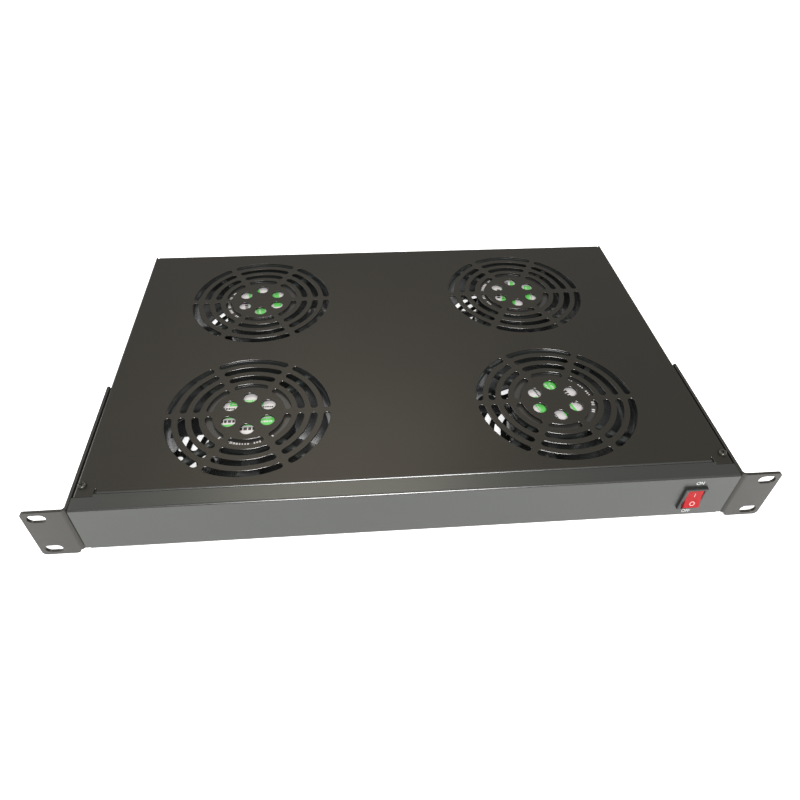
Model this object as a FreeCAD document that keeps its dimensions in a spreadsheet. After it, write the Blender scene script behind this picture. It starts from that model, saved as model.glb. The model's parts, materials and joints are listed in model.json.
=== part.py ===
import FreeCAD, Part
import math
import os
import re

import Sketcher

# 1U rack fan tray: a folded steel tray and cover holding four 120 mm mains fans, two rack
# ears, a rocker switch at the front and a mains inlet at the back.
#
# Frame: millimetres, +X to the right, +Y to the back, +Z up.  The origin is the centre of the
# four rack slots, on the back face of the ears, where they bear on the rack's rails.

doc = FreeCAD.newDocument("RackFanTray")
sizes = doc.addObject("Spreadsheet::Sheet", "Sizes")

# Driving dimensions, grouped by the piece that they belong to.
DIMENSIONS = {
    # case
    "body_width": 426.0,
    "body_depth": 289.0,
    "body_top": 21.9,
    "body_height": 40.6,
    "sheet": 1.2,
    "sheet_gap": 0.1,
    "fold_radius": 1.0,
    "side_fold_radius": 2.0,
    # lip of the front panel and the cover's edge behind it
    "lip_depth": 12.4,
    "seam_gap": 0.4,
    "corner_tab": 12.6,
    "corner_reach": 2.0,
    "relief_width": 1.5,
    "relief_depth": 2.4,
    "front_flange": 9.0,
    "rear_skirt": 9.0,
    # rack ears
    "ear_span": 482.6,
    "ear_tall": 44.2,
    "ear_sheet": 2.0,
    "ear_gap": 0.1,
    "ear_flange": 111.5,
    "ear_fold_radius": 1.8,
    "ear_corner_radius": 3.0,
    "ear_step_radius": 2.2,
    "rack_pitch_x": 465.1,
    "rack_pitch_z": 31.75,
    "rack_slot_long": 11.5,
    "rack_slot_wide": 7.0,
    # punched grilles
    "ring_first": 25.2,
    "ring_pitch": 9.2,
    "ring_slot": 5.0,
    "grille_spoke": 4.4,
    "grille_chord": 20.0,
    "hub_ring": 15.5,
    "hub_hole": 5.0,
    # fans
    "fan_pitch_x": 220.7,
    "fan_pitch_y": 137.0,
    "front_to_fan": 78.0,
    "fan_size": 120.0,
    "fan_deep": 38.0,
    "fan_bore": 57.4,
    "fan_flange": 5.0,
    "fan_corner": 3.0,
    "fan_hole_pitch": 105.0,
    "fan_hole": 2.15,
    "waist_radius": 61.0,
    "motor_radius": 32.0,
    "motor_base": 6.0,
    "motor_recess": 0.7,
    "strut_wide": 5.0,
    "strut_tall": 5.0,
    "strut_drop": 1.7,
    "strut_seat": 1.0,
    "boss_radius": 7.0,
    "boss_long": 23.0,
    "shaft_radius": 2.0,
    "running_gap": 0.03,
    "press_gap": 0.01,
    "axial_gap": 0.8,
    # impellers
    "hub_radius": 31.0,
    "hub_inside": 27.0,
    "hub_low": 3.0,
    "hub_tall": 26.0,
    "hub_floor": 2.5,
    "tip_gap": 1.4,
    "blade_root": 24.0,
    "blade_root_wide": 28.0,
    "blade_tip_wide": 50.0,
    "blade_edge_bow": 1.5,
    "blade_crown": 18.5,
    "blade_low_slope": 0.62,
    "blade_high_slope": 0.36,
    "blade_thick": 2.0,
    # stators
    "stator_gap": 0.8,
    "stator_flat": 0.6,
    "stator_low": 1.5,
    "stator_tall": 16.0,
    "stator_slot": 6.0,
    "stator_yoke": 5.0,
    # switch
    "switch_x": 186.0,
    "switch_z": 1.4,
    "bezel_wide": 15.0,
    "bezel_tall": 21.0,
    "bezel_thick": 2.2,
    "bezel_round": 0.8,
    "switch_body_wide": 12.8,
    "switch_body_tall": 19.0,
    "switch_body_deep": 15.0,
    "cutout_gap": 0.15,
    "rocker_wide": 10.8,
    "rocker_side_gap": 0.2,
    "rocker_end_gap": 0.3,
    "rocker_end_radius": 8.9,
    "rocker_crest": 5.2,
    "rocker_valley": 0.8,
    "rocker_back": 1.5,
    "rocker_floor_gap": 0.6,
    "rocker_tilt": 10.0,
    "pivot_depth": 2.2,
    "pivot_radius": 1.2,
    "pivot_long": 0.7,
    "rocker_fit": 0.07,
    "tag_wide": 4.8,
    "tag_thick": 0.8,
    "tag_long": 8.0,
    "tag_pitch": 7.0,
    # mains inlet
    "inlet_z": -1.0,
    "inlet_flange_wide": 50.0,
    "inlet_flange_tall": 23.0,
    "inlet_flange_thick": 3.0,
    "inlet_flange_round": 4.0,
    "inlet_body_wide": 27.6,
    "inlet_body_tall": 20.0,
    "inlet_body_deep": 20.0,
    "socket_wide": 24.6,
    "socket_tall": 16.4,
    "socket_deep": 17.0,
    "socket_corner": 3.6,
    "pin_wide": 2.0,
    "pin_tall": 4.0,
    "pin_long": 14.5,
    "pin_pitch": 14.0,
    "pin_offset": 4.0,
    "pin_tail": 7.0,
    "inlet_screw_pitch": 40.0,
    # screws and nuts
    "m3_radius": 1.5,
    "m3_head_radius": 2.8,
    "m3_head_tall": 1.9,
    "m3_nut": 2.75,
    "m3_nut_tall": 2.4,
    "m4_radius": 2.0,
    "m4_head_radius": 3.6,
    "m4_head_tall": 2.2,
    "thread_gap": 0.05,
    "screw_gap": 0.2,
    "screw_reach": 5.0,
    "screw_tip": 1.0,
    "cover_screw_inset": 4.4,
    "cover_screw_back": 19.5,
    "rear_screw_pitch": 300.0,
    "rear_screw_drop": 5.0,
    "ear_screw_first": 28.0,
    "ear_screw_pitch": 56.0,
    "screw_tab_wide": 11.0,
    "screw_tab_long": 20.0,
    # wiring
    "block_wide": 46.0,
    "block_long": 20.0,
    "block_tall": 12.0,
    "block_ways": 6.0,
    "block_way": 4.0,
    "lead_wide": 5.0,
    "lead_thick": 2.6,
    "mains_wide": 8.0,
    "mains_thick": 4.0,
}

for row, (alias, number) in enumerate(DIMENSIONS.items(), start=1):
    sizes.set(f"A{row}", alias)
    sizes.set(f"B{row}", str(number))
    sizes.setAlias(f"B{row}", alias)
doc.recompute()


def linked(text):
    """The expression with every dimension's name pointing at its cell in the sheet."""
    return re.sub(r"[a-z]\w*", lambda m: f"Sizes.{m[0]}" if m[0] in DIMENSIONS else m[0], str(text))


def size(text):
    """The present value of an expression in the sheet's dimensions."""
    return float(sizes.evalExpression(linked(text)))


# Places that several pieces share, as expressions in the dimensions.
FRONT = "(0 - ear_sheet)"
BACK = f"({FRONT} + body_depth)"
HALF = "(body_width / 2)"
TOP = "body_top"
UNDER = "(body_top - body_height)"
FLOOR = f"({UNDER} + sheet)"
CEILING = f"({TOP} - sheet)"
TRAY_HALF = f"({HALF} - sheet - sheet_gap)"
TRAY_TOP = f"({CEILING} - sheet_gap)"
TRAY_BACK = f"({BACK} - sheet - sheet_gap)"
PANEL_HALF = f"({HALF} - sheet_gap)"
TAB_X = f"({HALF} - corner_tab)"
TAB_FRONT = f"({FRONT} + lip_depth - corner_reach + seam_gap)"
COVER_FRONT = f"({FRONT} + lip_depth + seam_gap)"
FAN_X = "(fan_pitch_x / 2)"
FAN_Y = f"({FRONT} + front_to_fan)"
EAR_INSIDE = f"({HALF} + ear_gap)"
EAR_OUTSIDE = f"({HALF} + ear_gap + ear_sheet)"
EAR_SCREW_Z = f"(({TOP} + {UNDER}) / 2)"
COVER_SCREW_X = f"({HALF} - cover_screw_inset)"
COVER_SCREW_Y = f"({FRONT} + cover_screw_back)"
REAR_SCREW_Z = f"({TOP} - rear_screw_drop)"
PIVOT_Y = f"({FRONT} + pivot_depth)"
BLOCK_Y = f"({FAN_Y} + fan_pitch_y / 2)"
CLEAR_M3 = "(m3_radius + screw_gap)"
TAPPED_M3 = "(m3_radius + thread_gap)"
FANS = {
    "front_left": (-1, 0),
    "front_right": (1, 0),
    "rear_left": (-1, 1),
    "rear_right": (1, 1),
}
PLANE_NORMAL = {"XY_Plane": 1, "XZ_Plane": -1, "YZ_Plane": 1}

# How many flats stand for a round where it repeats many times or lies out of sight.
REPEATED_FLATS = 8
HEAD_FLATS = 12
CORE_FLATS = 16
BORE_FLATS = 32


def new_body(name):
    """An empty PartDesign body for one sub-part; a group of like fasteners is several solids."""
    body = doc.addObject("PartDesign::Body", name)
    body.Label = name
    body.AllowCompound = True
    return body


def new_sketch(body, name, plane="XY_Plane", at="0"):
    """A sketch on one of the body's own planes, moved along that axis to the place given."""
    sketch = body.newObject("Sketcher::SketchObject", f"{body.Name}_{name}")
    support = next(item for item in body.Origin.OriginFeatures if item.Role == plane)
    sketch.AttachmentSupport = [(support, "")]
    sketch.MapMode = "FlatFace"
    sketch.setExpression(".AttachmentOffset.Base.z", linked(f"{PLANE_NORMAL[plane]} * ({at})"))
    return sketch


def point(pair):
    return FreeCAD.Vector(size(pair[0]), size(pair[1]), 0)


def bind(sketch, kind, *where, to):
    """A dimension of the sketch that follows an expression."""
    index = sketch.addConstraint(Sketcher.Constraint(kind, *where, size(to)))
    sketch.setExpression(f"Constraints[{index}]", linked(to))


def pin_point(sketch, item, end, pair):
    """Hold one point of the sketch at a pair of expressions."""
    bind(sketch, "DistanceX", -1, 1, item, end, to=pair[0])
    bind(sketch, "DistanceY", -1, 1, item, end, to=pair[1])


def outline(sketch, *corners):
    """A closed outline of straight sides whose corners follow pairs of expressions."""
    first, known = sketch.GeometryCount, sketch.ConstraintCount
    points = [point(corner) for corner in corners]
    sides = zip(points, points[1:] + points[:1])
    sketch.addGeometry([Part.LineSegment(start, end) for start, end in sides])
    constraints, rules = [], {}
    for i, (corner, place) in enumerate(zip(corners, points)):
        before = first + (i - 1) % len(corners)
        constraints.append(Sketcher.Constraint("Coincident", before, 2, first + i, 1))
        for kind, number, rule in (("DistanceX", place.x, corner[0]), ("DistanceY", place.y, corner[1])):
            rules[known + len(constraints)] = rule
            constraints.append(Sketcher.Constraint(kind, -1, 1, first + i, 1, number))
    sketch.addConstraint(constraints)
    for index, rule in rules.items():
        sketch.setExpression(f"Constraints[{index}]", linked(rule))


def rectangle(sketch, left, low, right, high):
    outline(sketch, (left, low), (right, low), (right, high), (left, high))


def box_outline(sketch, x, y, wide, tall):
    """A rectangle given by its middle and its two sizes."""
    rectangle(
        sketch,
        f"{x} - {wide} / 2",
        f"{y} - {tall} / 2",
        f"{x} + {wide} / 2",
        f"{y} + {tall} / 2",
    )


def circles(sketch, radius, *centres):
    """Equal circles at pairs of expressions."""
    for centre in centres:
        ring = Part.Circle(point(centre), FreeCAD.Vector(0, 0, 1), size(radius))
        index = sketch.addGeometry(ring)
        pin_point(sketch, index, 3, centre)
        bind(sketch, "Radius", index, to=radius)


def flat_sided(sketch, radius, flats, *centres):
    """Regular outlines whose flats touch a circle of the radius, where a round is not needed."""
    for x, y in centres:
        corners = []
        for step in range(flats):
            turn = math.pi * (2 * step + 1) / flats
            reach = f"{radius} * {1 / math.cos(math.pi / flats):.6f}"
            corners.append(
                (f"{x} + {reach} * {math.cos(turn):.6f}", f"{y} + {reach} * {math.sin(turn):.6f}")
            )
        outline(sketch, *corners)


def small_rounds(sketch, radius, *centres):
    """Screw shanks, their holes and the like, which repeat all over the case."""
    flat_sided(sketch, radius, REPEATED_FLATS, *centres)


def pad(body, sketch, length, towards=1, both_ways=False):
    """Material from the sketch along its axis: towards +1 or -1, or half each way."""
    feature = body.newObject("PartDesign::Pad", f"{sketch.Name}_pad")
    feature.Profile = sketch
    feature.Length = size(length)
    feature.setExpression("Length", linked(length))
    plane = sketch.AttachmentSupport[0][0].Role
    feature.Reversed = towards != PLANE_NORMAL[plane]
    if both_ways:
        feature.SideType = "Symmetric"
    doc.recompute()
    return feature


def pocket(body, sketch, length=None, towards=1, both_ways=False):
    """A cut from the sketch along its axis, through everything where no length is given."""
    before = body.Shape.Volume
    feature = body.newObject("PartDesign::Pocket", f"{sketch.Name}_cut")
    feature.Profile = sketch
    plane = sketch.AttachmentSupport[0][0].Role
    feature.Reversed = towards == PLANE_NORMAL[plane]
    if length is None:
        feature.Type = "ThroughAll"
    else:
        feature.Length = size(length)
        feature.setExpression("Length", linked(length))
    if both_ways:
        feature.SideType = "Symmetric"
    doc.recompute()
    if body.Shape.Volume >= before:
        raise RuntimeError(f"{feature.Name} cuts nothing")
    return feature


def edges_where(body, test):
    """The names of the body's straight edges that pass the test of middle and direction."""
    names = []
    for i, edge in enumerate(body.Shape.Edges, start=1):
        if edge.Curve.TypeId != "Part::GeomLine":
            continue
        middle = (edge.Vertexes[0].Point + edge.Vertexes[-1].Point) / 2
        along = edge.Vertexes[-1].Point - edge.Vertexes[0].Point
        if test(middle, along):
            names.append(f"Edge{i}")
    return names


def near(number, expression):
    return abs(number - size(expression)) < 0.01


def fillet(body, radius, test):
    """A rounded fold or corner along every straight edge that passes the test."""
    base = body.Tip
    feature = body.newObject("PartDesign::Fillet", f"{base.Name}_round")
    feature.Base = (base, edges_where(body, test))
    feature.Radius = size(radius)
    feature.setExpression("Radius", linked(radius))
    doc.recompute()
    return feature


def runs_along(vector, axis):
    """Whether an edge's direction is the axis X, Y or Z."""
    return abs(getattr(vector, axis.lower())) > 0.999 * vector.Length


def mirrored_pairs(x, *ys):
    """Left and right places at each of the heights or depths given."""
    return [(f"{side} * {x}", y) for side in (-1, 1) for y in ys]


# --- punched grille, the same in the cover and under the fans -----------------------------

GRILLE_SECTORS = 6
GRILLE_RINGS = 4


def ring_opening(sketch, inner, outer):
    """One curved slot between two spokes: both long sides are chords of their own circle."""
    half_spoke = size("grille_spoke") / 2
    sector = 2 * math.pi / GRILLE_SECTORS
    inner, outer = size(inner), size(outer)
    chords = math.ceil(outer * (sector - 2 * half_spoke / outer) / size("grille_chord"))
    corners = []
    for radius, steps in ((outer, range(chords + 1)), (inner, range(chords, -1, -1))):
        start = math.asin(half_spoke / radius)
        span = sector - 2 * start
        for step in steps:
            angle = start + span * step / chords
            corners.append(FreeCAD.Vector(radius * math.cos(angle), radius * math.sin(angle), 0))
    first = sketch.GeometryCount
    for start, end in zip(corners, corners[1:] + corners[:1]):
        index = sketch.addGeometry(Part.LineSegment(start, end))
        sketch.addConstraint(Sketcher.Constraint("Block", index))
    return first


def punch_grilles(body, towards, hub_holes):
    """Four round grilles: one sector is cut, then turned about its hub and set at each fan."""
    sketch = new_sketch(body, "grille")
    sketch.setExpression(".AttachmentOffset.Base.x", linked(f"0 - {FAN_X}"))
    sketch.setExpression(".AttachmentOffset.Base.y", linked(FAN_Y))
    for ring in range(GRILLE_RINGS):
        inner = f"ring_first + {ring} * ring_pitch"
        ring_opening(sketch, inner, f"{inner} + ring_slot")
    if hub_holes:
        angle = math.pi / GRILLE_SECTORS
        centre = (f"hub_ring * {math.cos(angle)}", f"hub_ring * {math.sin(angle)}")
        small_rounds(sketch, "hub_hole", centre)
    cut = pocket(body, sketch, towards=towards)
    pattern = body.newObject("PartDesign::MultiTransform", f"{body.Name}_grilles")
    around = body.newObject("PartDesign::PolarPattern", f"{body.Name}_around_hub")
    around.Axis = (sketch, ["N_Axis"])
    around.Angle = 360
    around.Occurrences = GRILLE_SECTORS
    steps = [around]
    for axis, pitch in (("H_Axis", "fan_pitch_x"), ("V_Axis", "fan_pitch_y")):
        step = body.newObject("PartDesign::LinearPattern", f"{body.Name}_{pitch}")
        step.Direction = (sketch, [axis])
        step.Length = size(pitch)
        step.setExpression("Length", linked(pitch))
        step.Occurrences = 2
        steps.append(step)
    pattern.Originals = [cut]
    pattern.Transformations = steps
    body.Tip = pattern
    doc.recompute()


# --- base tray: front panel with its lip, floor, sides and back, folded from one sheet ----

def make_base_tray():
    body = new_body("base_tray")
    wall = "sheet"
    side = new_sketch(body, "section", "XZ_Plane", f"{FRONT} + {wall}")
    outline(
        side,
        (f"0 - {TRAY_HALF}", TRAY_TOP),
        (f"0 - {TRAY_HALF}", UNDER),
        (TRAY_HALF, UNDER),
        (TRAY_HALF, TRAY_TOP),
        (f"{TRAY_HALF} - {wall}", TRAY_TOP),
        (f"{TRAY_HALF} - {wall}", FLOOR),
        (f"{wall} - {TRAY_HALF}", FLOOR),
        (f"{wall} - {TRAY_HALF}", TRAY_TOP),
    )
    pad(body, side, f"{TRAY_BACK} - 2 * {wall} - {FRONT}")
    panel = new_sketch(body, "front_panel", "XZ_Plane", FRONT)
    rectangle(panel, f"0 - {PANEL_HALF}", UNDER, PANEL_HALF, TOP)
    pad(body, panel, wall)
    back = new_sketch(body, "back_wall", "XZ_Plane", f"{TRAY_BACK} - {wall}")
    rectangle(back, f"0 - {TRAY_HALF}", UNDER, TRAY_HALF, TRAY_TOP)
    pad(body, back, wall)
    lip = new_sketch(body, "lip", "XY_Plane", f"{TOP} - {wall}")
    shoulder = f"{FRONT} + lip_depth - corner_reach"
    outline(
        lip,
        (f"0 - {PANEL_HALF}", FRONT),
        (PANEL_HALF, FRONT),
        (PANEL_HALF, shoulder),
        (TAB_X, shoulder),
        (TAB_X, f"{FRONT} + lip_depth"),
        (f"0 - {TAB_X}", f"{FRONT} + lip_depth"),
        (f"0 - {TAB_X}", shoulder),
        (f"0 - {PANEL_HALF}", shoulder),
    )
    pad(body, lip, wall)
    tabs = new_sketch(body, "screw_tabs", "XY_Plane", f"{TRAY_TOP} - {wall}")
    inner = f"({TRAY_HALF} - {wall} - screw_tab_wide)"
    outer = f"({TRAY_HALF} - {wall})"
    tab_back = f"{TAB_FRONT} + screw_tab_long"
    rectangle(tabs, inner, TAB_FRONT, outer, tab_back)
    rectangle(tabs, f"0 - {outer}", TAB_FRONT, f"0 - {inner}", tab_back)
    pad(body, tabs, wall)
    fillet(
        body,
        "fold_radius",
        lambda m, v: runs_along(v, "X") and near(m.y, FRONT) and abs(m.x) < 1
        or runs_along(v, "Y") and near(m.z, UNDER) and near(abs(m.x), TRAY_HALF),
    )
    front_holes = new_sketch(body, "switch_cutout", "XZ_Plane", FRONT)
    box_outline(
        front_holes,
        "switch_x",
        "switch_z",
        "(switch_body_wide + 2 * cutout_gap)",
        "(switch_body_tall + 2 * cutout_gap)",
    )
    pocket(body, front_holes, wall)
    back_holes = new_sketch(body, "inlet_cutout", "XZ_Plane", TRAY_BACK)
    box_outline(
        back_holes,
        "0",
        "inlet_z",
        "(inlet_body_wide + 2 * cutout_gap)",
        "(inlet_body_tall + 2 * cutout_gap)",
    )
    small_rounds(back_holes, CLEAR_M3, *mirrored_pairs("inlet_screw_pitch / 2", "inlet_z"))
    small_rounds(back_holes, TAPPED_M3, *mirrored_pairs("rear_screw_pitch / 2", REAR_SCREW_Z))
    pocket(body, back_holes, wall, towards=-1)
    tab_holes = new_sketch(body, "tab_holes", "XY_Plane", TRAY_TOP)
    small_rounds(tab_holes, TAPPED_M3, *mirrored_pairs(COVER_SCREW_X, COVER_SCREW_Y))
    pocket(body, tab_holes, wall, towards=-1)
    floor_holes = new_sketch(body, "fan_holes", "XY_Plane", FLOOR)
    small_rounds(floor_holes, "(m4_radius + screw_gap)", *fan_screw_places())
    pocket(body, floor_holes, wall, towards=-1)
    side_holes = new_sketch(body, "ear_holes", "YZ_Plane", "0")
    small_rounds(side_holes, CLEAR_M3, *ear_screw_places())
    pocket(body, side_holes, "body_width", both_ways=True)
    punch_grilles(body, towards=-1, hub_holes=False)


def fan_screw_places():
    """Two opposite corner holes of every fan."""
    return [
        (
            f"{column} * {FAN_X} + {corner} * fan_hole_pitch / 2",
            f"{FAN_Y} + {line} * fan_pitch_y + {corner} * fan_hole_pitch / 2",
        )
        for column, line in FANS.values()
        for corner in (-1, 1)
    ]


def ear_screw_places():
    """Two screws in line along each ear's side flange."""
    return [
        (f"{FRONT} + ear_screw_first + {step} * ear_screw_pitch", EAR_SCREW_Z) for step in range(2)
    ]


# --- top cover: an inverted channel with its front and back edges folded down --------------

def make_top_cover():
    body = new_body("top_cover")
    wall = "sheet"
    section = new_sketch(body, "section", "XZ_Plane", TAB_FRONT)
    outline(
        section,
        (f"0 - {HALF}", UNDER),
        (f"0 - {HALF}", TOP),
        (HALF, TOP),
        (HALF, UNDER),
        (f"{HALF} - {wall}", UNDER),
        (f"{HALF} - {wall}", CEILING),
        (f"{wall} - {HALF}", CEILING),
        (f"{wall} - {HALF}", UNDER),
    )
    pad(body, section, f"{BACK} - {TAB_FRONT}")
    fillet(
        body,
        "side_fold_radius",
        lambda m, v: runs_along(v, "Y") and near(m.z, TOP),
    )
    notch = new_sketch(body, "front_notch", "XY_Plane", CEILING)
    relief = f"({TAB_X} - relief_width)"
    outline(
        notch,
        (f"0 - {TAB_X}", f"{TAB_FRONT} - seam_gap"),
        (TAB_X, f"{TAB_FRONT} - seam_gap"),
        (TAB_X, f"{COVER_FRONT} + relief_depth"),
        (relief, f"{COVER_FRONT} + relief_depth"),
        (relief, COVER_FRONT),
        (f"0 - {relief}", COVER_FRONT),
        (f"0 - {relief}", f"{COVER_FRONT} + relief_depth"),
        (f"0 - {TAB_X}", f"{COVER_FRONT} + relief_depth"),
    )
    pocket(body, notch)
    front = new_sketch(body, "front_flange", "XZ_Plane", COVER_FRONT)
    rectangle(front, f"0 - {relief}", f"{TOP} - front_flange", relief, TOP)
    pad(body, front, wall)
    skirt_half = f"({HALF} - side_fold_radius - relief_width)"
    reliefs = new_sketch(body, "rear_reliefs", "XY_Plane", CEILING)
    for side in (-1, 1):
        box_outline(
            reliefs,
            f"{side} * ({skirt_half} + relief_width / 2)",
            BACK,
            "relief_width",
            "(2 * relief_depth)",
        )
    pocket(body, reliefs)
    skirt = new_sketch(body, "rear_skirt", "XZ_Plane", f"{BACK} - {wall}")
    rectangle(skirt, f"0 - {skirt_half}", f"{TOP} - rear_skirt", skirt_half, TOP)
    pad(body, skirt, wall)
    fillet(
        body,
        "fold_radius",
        lambda m, v: runs_along(v, "X") and near(m.z, TOP) and abs(m.x) < 1,
    )
    top_holes = new_sketch(body, "front_holes", "XY_Plane", CEILING)
    small_rounds(top_holes, CLEAR_M3, *mirrored_pairs(COVER_SCREW_X, COVER_SCREW_Y))
    pocket(body, top_holes, wall)
    skirt_holes = new_sketch(body, "skirt_holes", "XZ_Plane", BACK)
    small_rounds(skirt_holes, CLEAR_M3, *mirrored_pairs("rear_screw_pitch / 2", REAR_SCREW_Z))
    pocket(body, skirt_holes, wall, towards=-1)
    side_holes = new_sketch(body, "ear_holes", "YZ_Plane", "0")
    small_rounds(side_holes, CLEAR_M3, *ear_screw_places())
    pocket(body, side_holes, "body_width + 2 * sheet", both_ways=True)
    punch_grilles(body, towards=1, hub_holes=True)


# --- rack ears: two angle brackets, slotted for the rack and screwed to the case -----------

def make_rack_ear(name, side):
    body = new_body(name)
    plan = new_sketch(body, "angle", "XY_Plane", "0 - ear_tall / 2")
    outline(
        plan,
        (f"{side} * ear_span / 2", FRONT),
        (f"{side} * {EAR_INSIDE}", FRONT),
        (f"{side} * {EAR_INSIDE}", f"{FRONT} + ear_flange"),
        (f"{side} * {EAR_OUTSIDE}", f"{FRONT} + ear_flange"),
        (f"{side} * {EAR_OUTSIDE}", "0"),
        (f"{side} * ear_span / 2", "0"),
    )
    pad(body, plan, "ear_tall")
    fillet(
        body,
        "ear_fold_radius + ear_sheet",
        lambda m, v: runs_along(v, "Z") and near(m.y, FRONT) and near(abs(m.x), EAR_INSIDE),
    )
    fillet(
        body,
        "ear_fold_radius",
        lambda m, v: runs_along(v, "Z") and near(m.y, "0") and near(abs(m.x), EAR_OUTSIDE),
    )
    step = new_sketch(body, "flange_step", "YZ_Plane", f"{side} * {EAR_INSIDE}")
    rectangle(
        step,
        f"{FRONT} - ear_sheet",
        "0 - ear_tall",
        f"{FRONT} + ear_flange + ear_sheet",
        UNDER,
    )
    pocket(body, step, "ear_sheet + ear_fold_radius", towards=side)
    fillet(
        body,
        "ear_corner_radius",
        lambda m, v: runs_along(v, "Y")
        and near(abs(m.z), "ear_tall / 2")
        and abs(m.x) > size(f"{EAR_OUTSIDE} + ear_fold_radius") - 0.01
        and (m.z < 0 or abs(m.x) > size("rack_pitch_x / 2")),
    )
    slots = new_sketch(body, "rack_slots", "XZ_Plane", "0 - ear_sheet")
    for height in (-1, 1):
        slot_outline(slots, f"{side} * rack_pitch_x / 2", f"{height} * rack_pitch_z / 2")
    pocket(body, slots, "ear_sheet")
    holes = new_sketch(body, "holes", "YZ_Plane", f"{side} * {EAR_OUTSIDE}")
    small_rounds(holes, CLEAR_M3, *ear_screw_places())
    pocket(body, holes, "ear_sheet", towards=-side)


def slot_outline(sketch, x, z):
    """A slot with round ends, lying along X, its middle at a pair of expressions."""
    radius = "rack_slot_wide / 2"
    reach = "(rack_slot_long - rack_slot_wide) / 2"
    first = sketch.GeometryCount
    left = FreeCAD.Vector(size(f"{x} - {reach}"), size(z), 0)
    right = FreeCAD.Vector(size(f"{x} + {reach}"), size(z), 0)
    up = FreeCAD.Vector(0, size(radius), 0)
    axis = FreeCAD.Vector(0, 0, 1)
    quarter = math.pi / 2
    sketch.addGeometry(Part.LineSegment(left + up, right + up))
    sketch.addGeometry(Part.LineSegment(right - up, left - up))
    sketch.addGeometry(Part.ArcOfCircle(Part.Circle(right, axis, up.y), -quarter, quarter))
    sketch.addGeometry(Part.ArcOfCircle(Part.Circle(left, axis, up.y), quarter, 3 * quarter))
    joins = ((0, 2, 2, 2), (1, 1, 2, 1), (1, 2, 3, 2), (0, 1, 3, 1))
    for line, line_end, arc, arc_end in joins:
        sketch.addConstraint(
            Sketcher.Constraint("Tangent", first + line, line_end, first + arc, arc_end)
        )
    pin_point(sketch, first + 2, 3, (f"{x} + {reach}", z))
    pin_point(sketch, first + 3, 3, (f"{x} - {reach}", z))
    bind(sketch, "Radius", first + 2, to=radius)


# --- fans: cast frame, stator on its boss, impeller and shaft ------------------------------

BLADES = 5
FAN_TURN = {"front_left": 20.0, "front_right": 8.0, "rear_left": 47.0, "rear_right": 33.0}


def place_fan(body, column, line, turn=0.0):
    """Stand a fan's piece on the tray's floor, at its column and row, turned on its own axis."""
    upright = FreeCAD.Vector(0, 0, 1)
    body.Placement = FreeCAD.Placement(FreeCAD.Vector(), FreeCAD.Rotation(upright, turn))
    body.setExpression(".Placement.Base.x", linked(f"{column} * {FAN_X}"))
    body.setExpression(".Placement.Base.y", linked(f"{FAN_Y} + {line} * fan_pitch_y"))
    body.setExpression(".Placement.Base.z", linked(FLOOR))


MOTOR_LOW = "(fan_deep - motor_recess - motor_base)"
BOSS_LOW = f"({MOTOR_LOW} - boss_long)"
TIP_RADIUS = "(fan_bore - tip_gap)"


def make_fan_frame(name, column, line):
    body = new_body(f"fan_frame_{name}")
    place_fan(body, column, line)
    square = new_sketch(body, "square")
    side, cut = "(fan_size / 2)", "(fan_size / 2 - fan_corner)"
    outline(
        square,
        (side, f"0 - {cut}"),
        (side, cut),
        (cut, side),
        (f"0 - {cut}", side),
        (f"0 - {side}", cut),
        (f"0 - {side}", f"0 - {cut}"),
        (f"0 - {cut}", f"0 - {side}"),
        (cut, f"0 - {side}"),
    )
    flat_sided(square, "fan_bore", BORE_FLATS, ("0", "0"))
    pad(body, square, "fan_deep")
    waist = new_sketch(body, "waist", at="fan_flange")
    far = "(fan_size / 2 + fan_flange)"
    near_side = f"(waist_radius * {math.sqrt(2)} - {far})"
    for right, back in ((1, 1), (1, -1), (-1, 1), (-1, -1)):
        outline(
            waist,
            (f"{right} * {far}", f"{back} * {near_side}"),
            (f"{right} * {far}", f"{back} * {far}"),
            (f"{right} * {near_side}", f"{back} * {far}"),
        )
    pocket(body, waist, "fan_deep - 2 * fan_flange")
    holes = new_sketch(body, "holes")
    corner = "fan_hole_pitch / 2"
    places = mirrored_pairs(corner, f"0 - {corner}", corner)
    small_rounds(holes, "fan_hole", *places)
    pocket(body, holes)
    struts = new_sketch(body, "struts", at="fan_deep - strut_drop - strut_tall")
    diagonal = FreeCAD.Rotation(FreeCAD.Vector(0, 0, 1), 45)
    struts.AttachmentOffset = FreeCAD.Placement(struts.AttachmentOffset.Base, diagonal)
    wide, reach = "strut_wide / 2", "(fan_bore + strut_seat)"
    quarter = ((reach, wide), (wide, wide), (wide, reach))
    cross = []
    for across, along in ((1, 1), (-1, 1), (-1, -1), (1, -1)):
        corners = [(f"{across} * {x}", f"{along} * {y}") for x, y in quarter]
        cross += corners if across == along else corners[::-1]
    outline(struts, *cross)
    pad(body, struts, "strut_tall")
    motor = new_sketch(body, "motor_base", at=MOTOR_LOW)
    flat_sided(motor, "motor_radius", BORE_FLATS, ("0", "0"))
    pad(body, motor, "motor_base")
    boss = new_sketch(body, "boss", at=MOTOR_LOW)
    flat_sided(boss, "boss_radius", CORE_FLATS, ("0", "0"))
    pad(body, boss, "boss_long", towards=-1)
    bearing = new_sketch(body, "bearing", at=BOSS_LOW)
    circles(bearing, "shaft_radius + running_gap", ("0", "0"))
    pocket(body, bearing, "boss_long")


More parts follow.
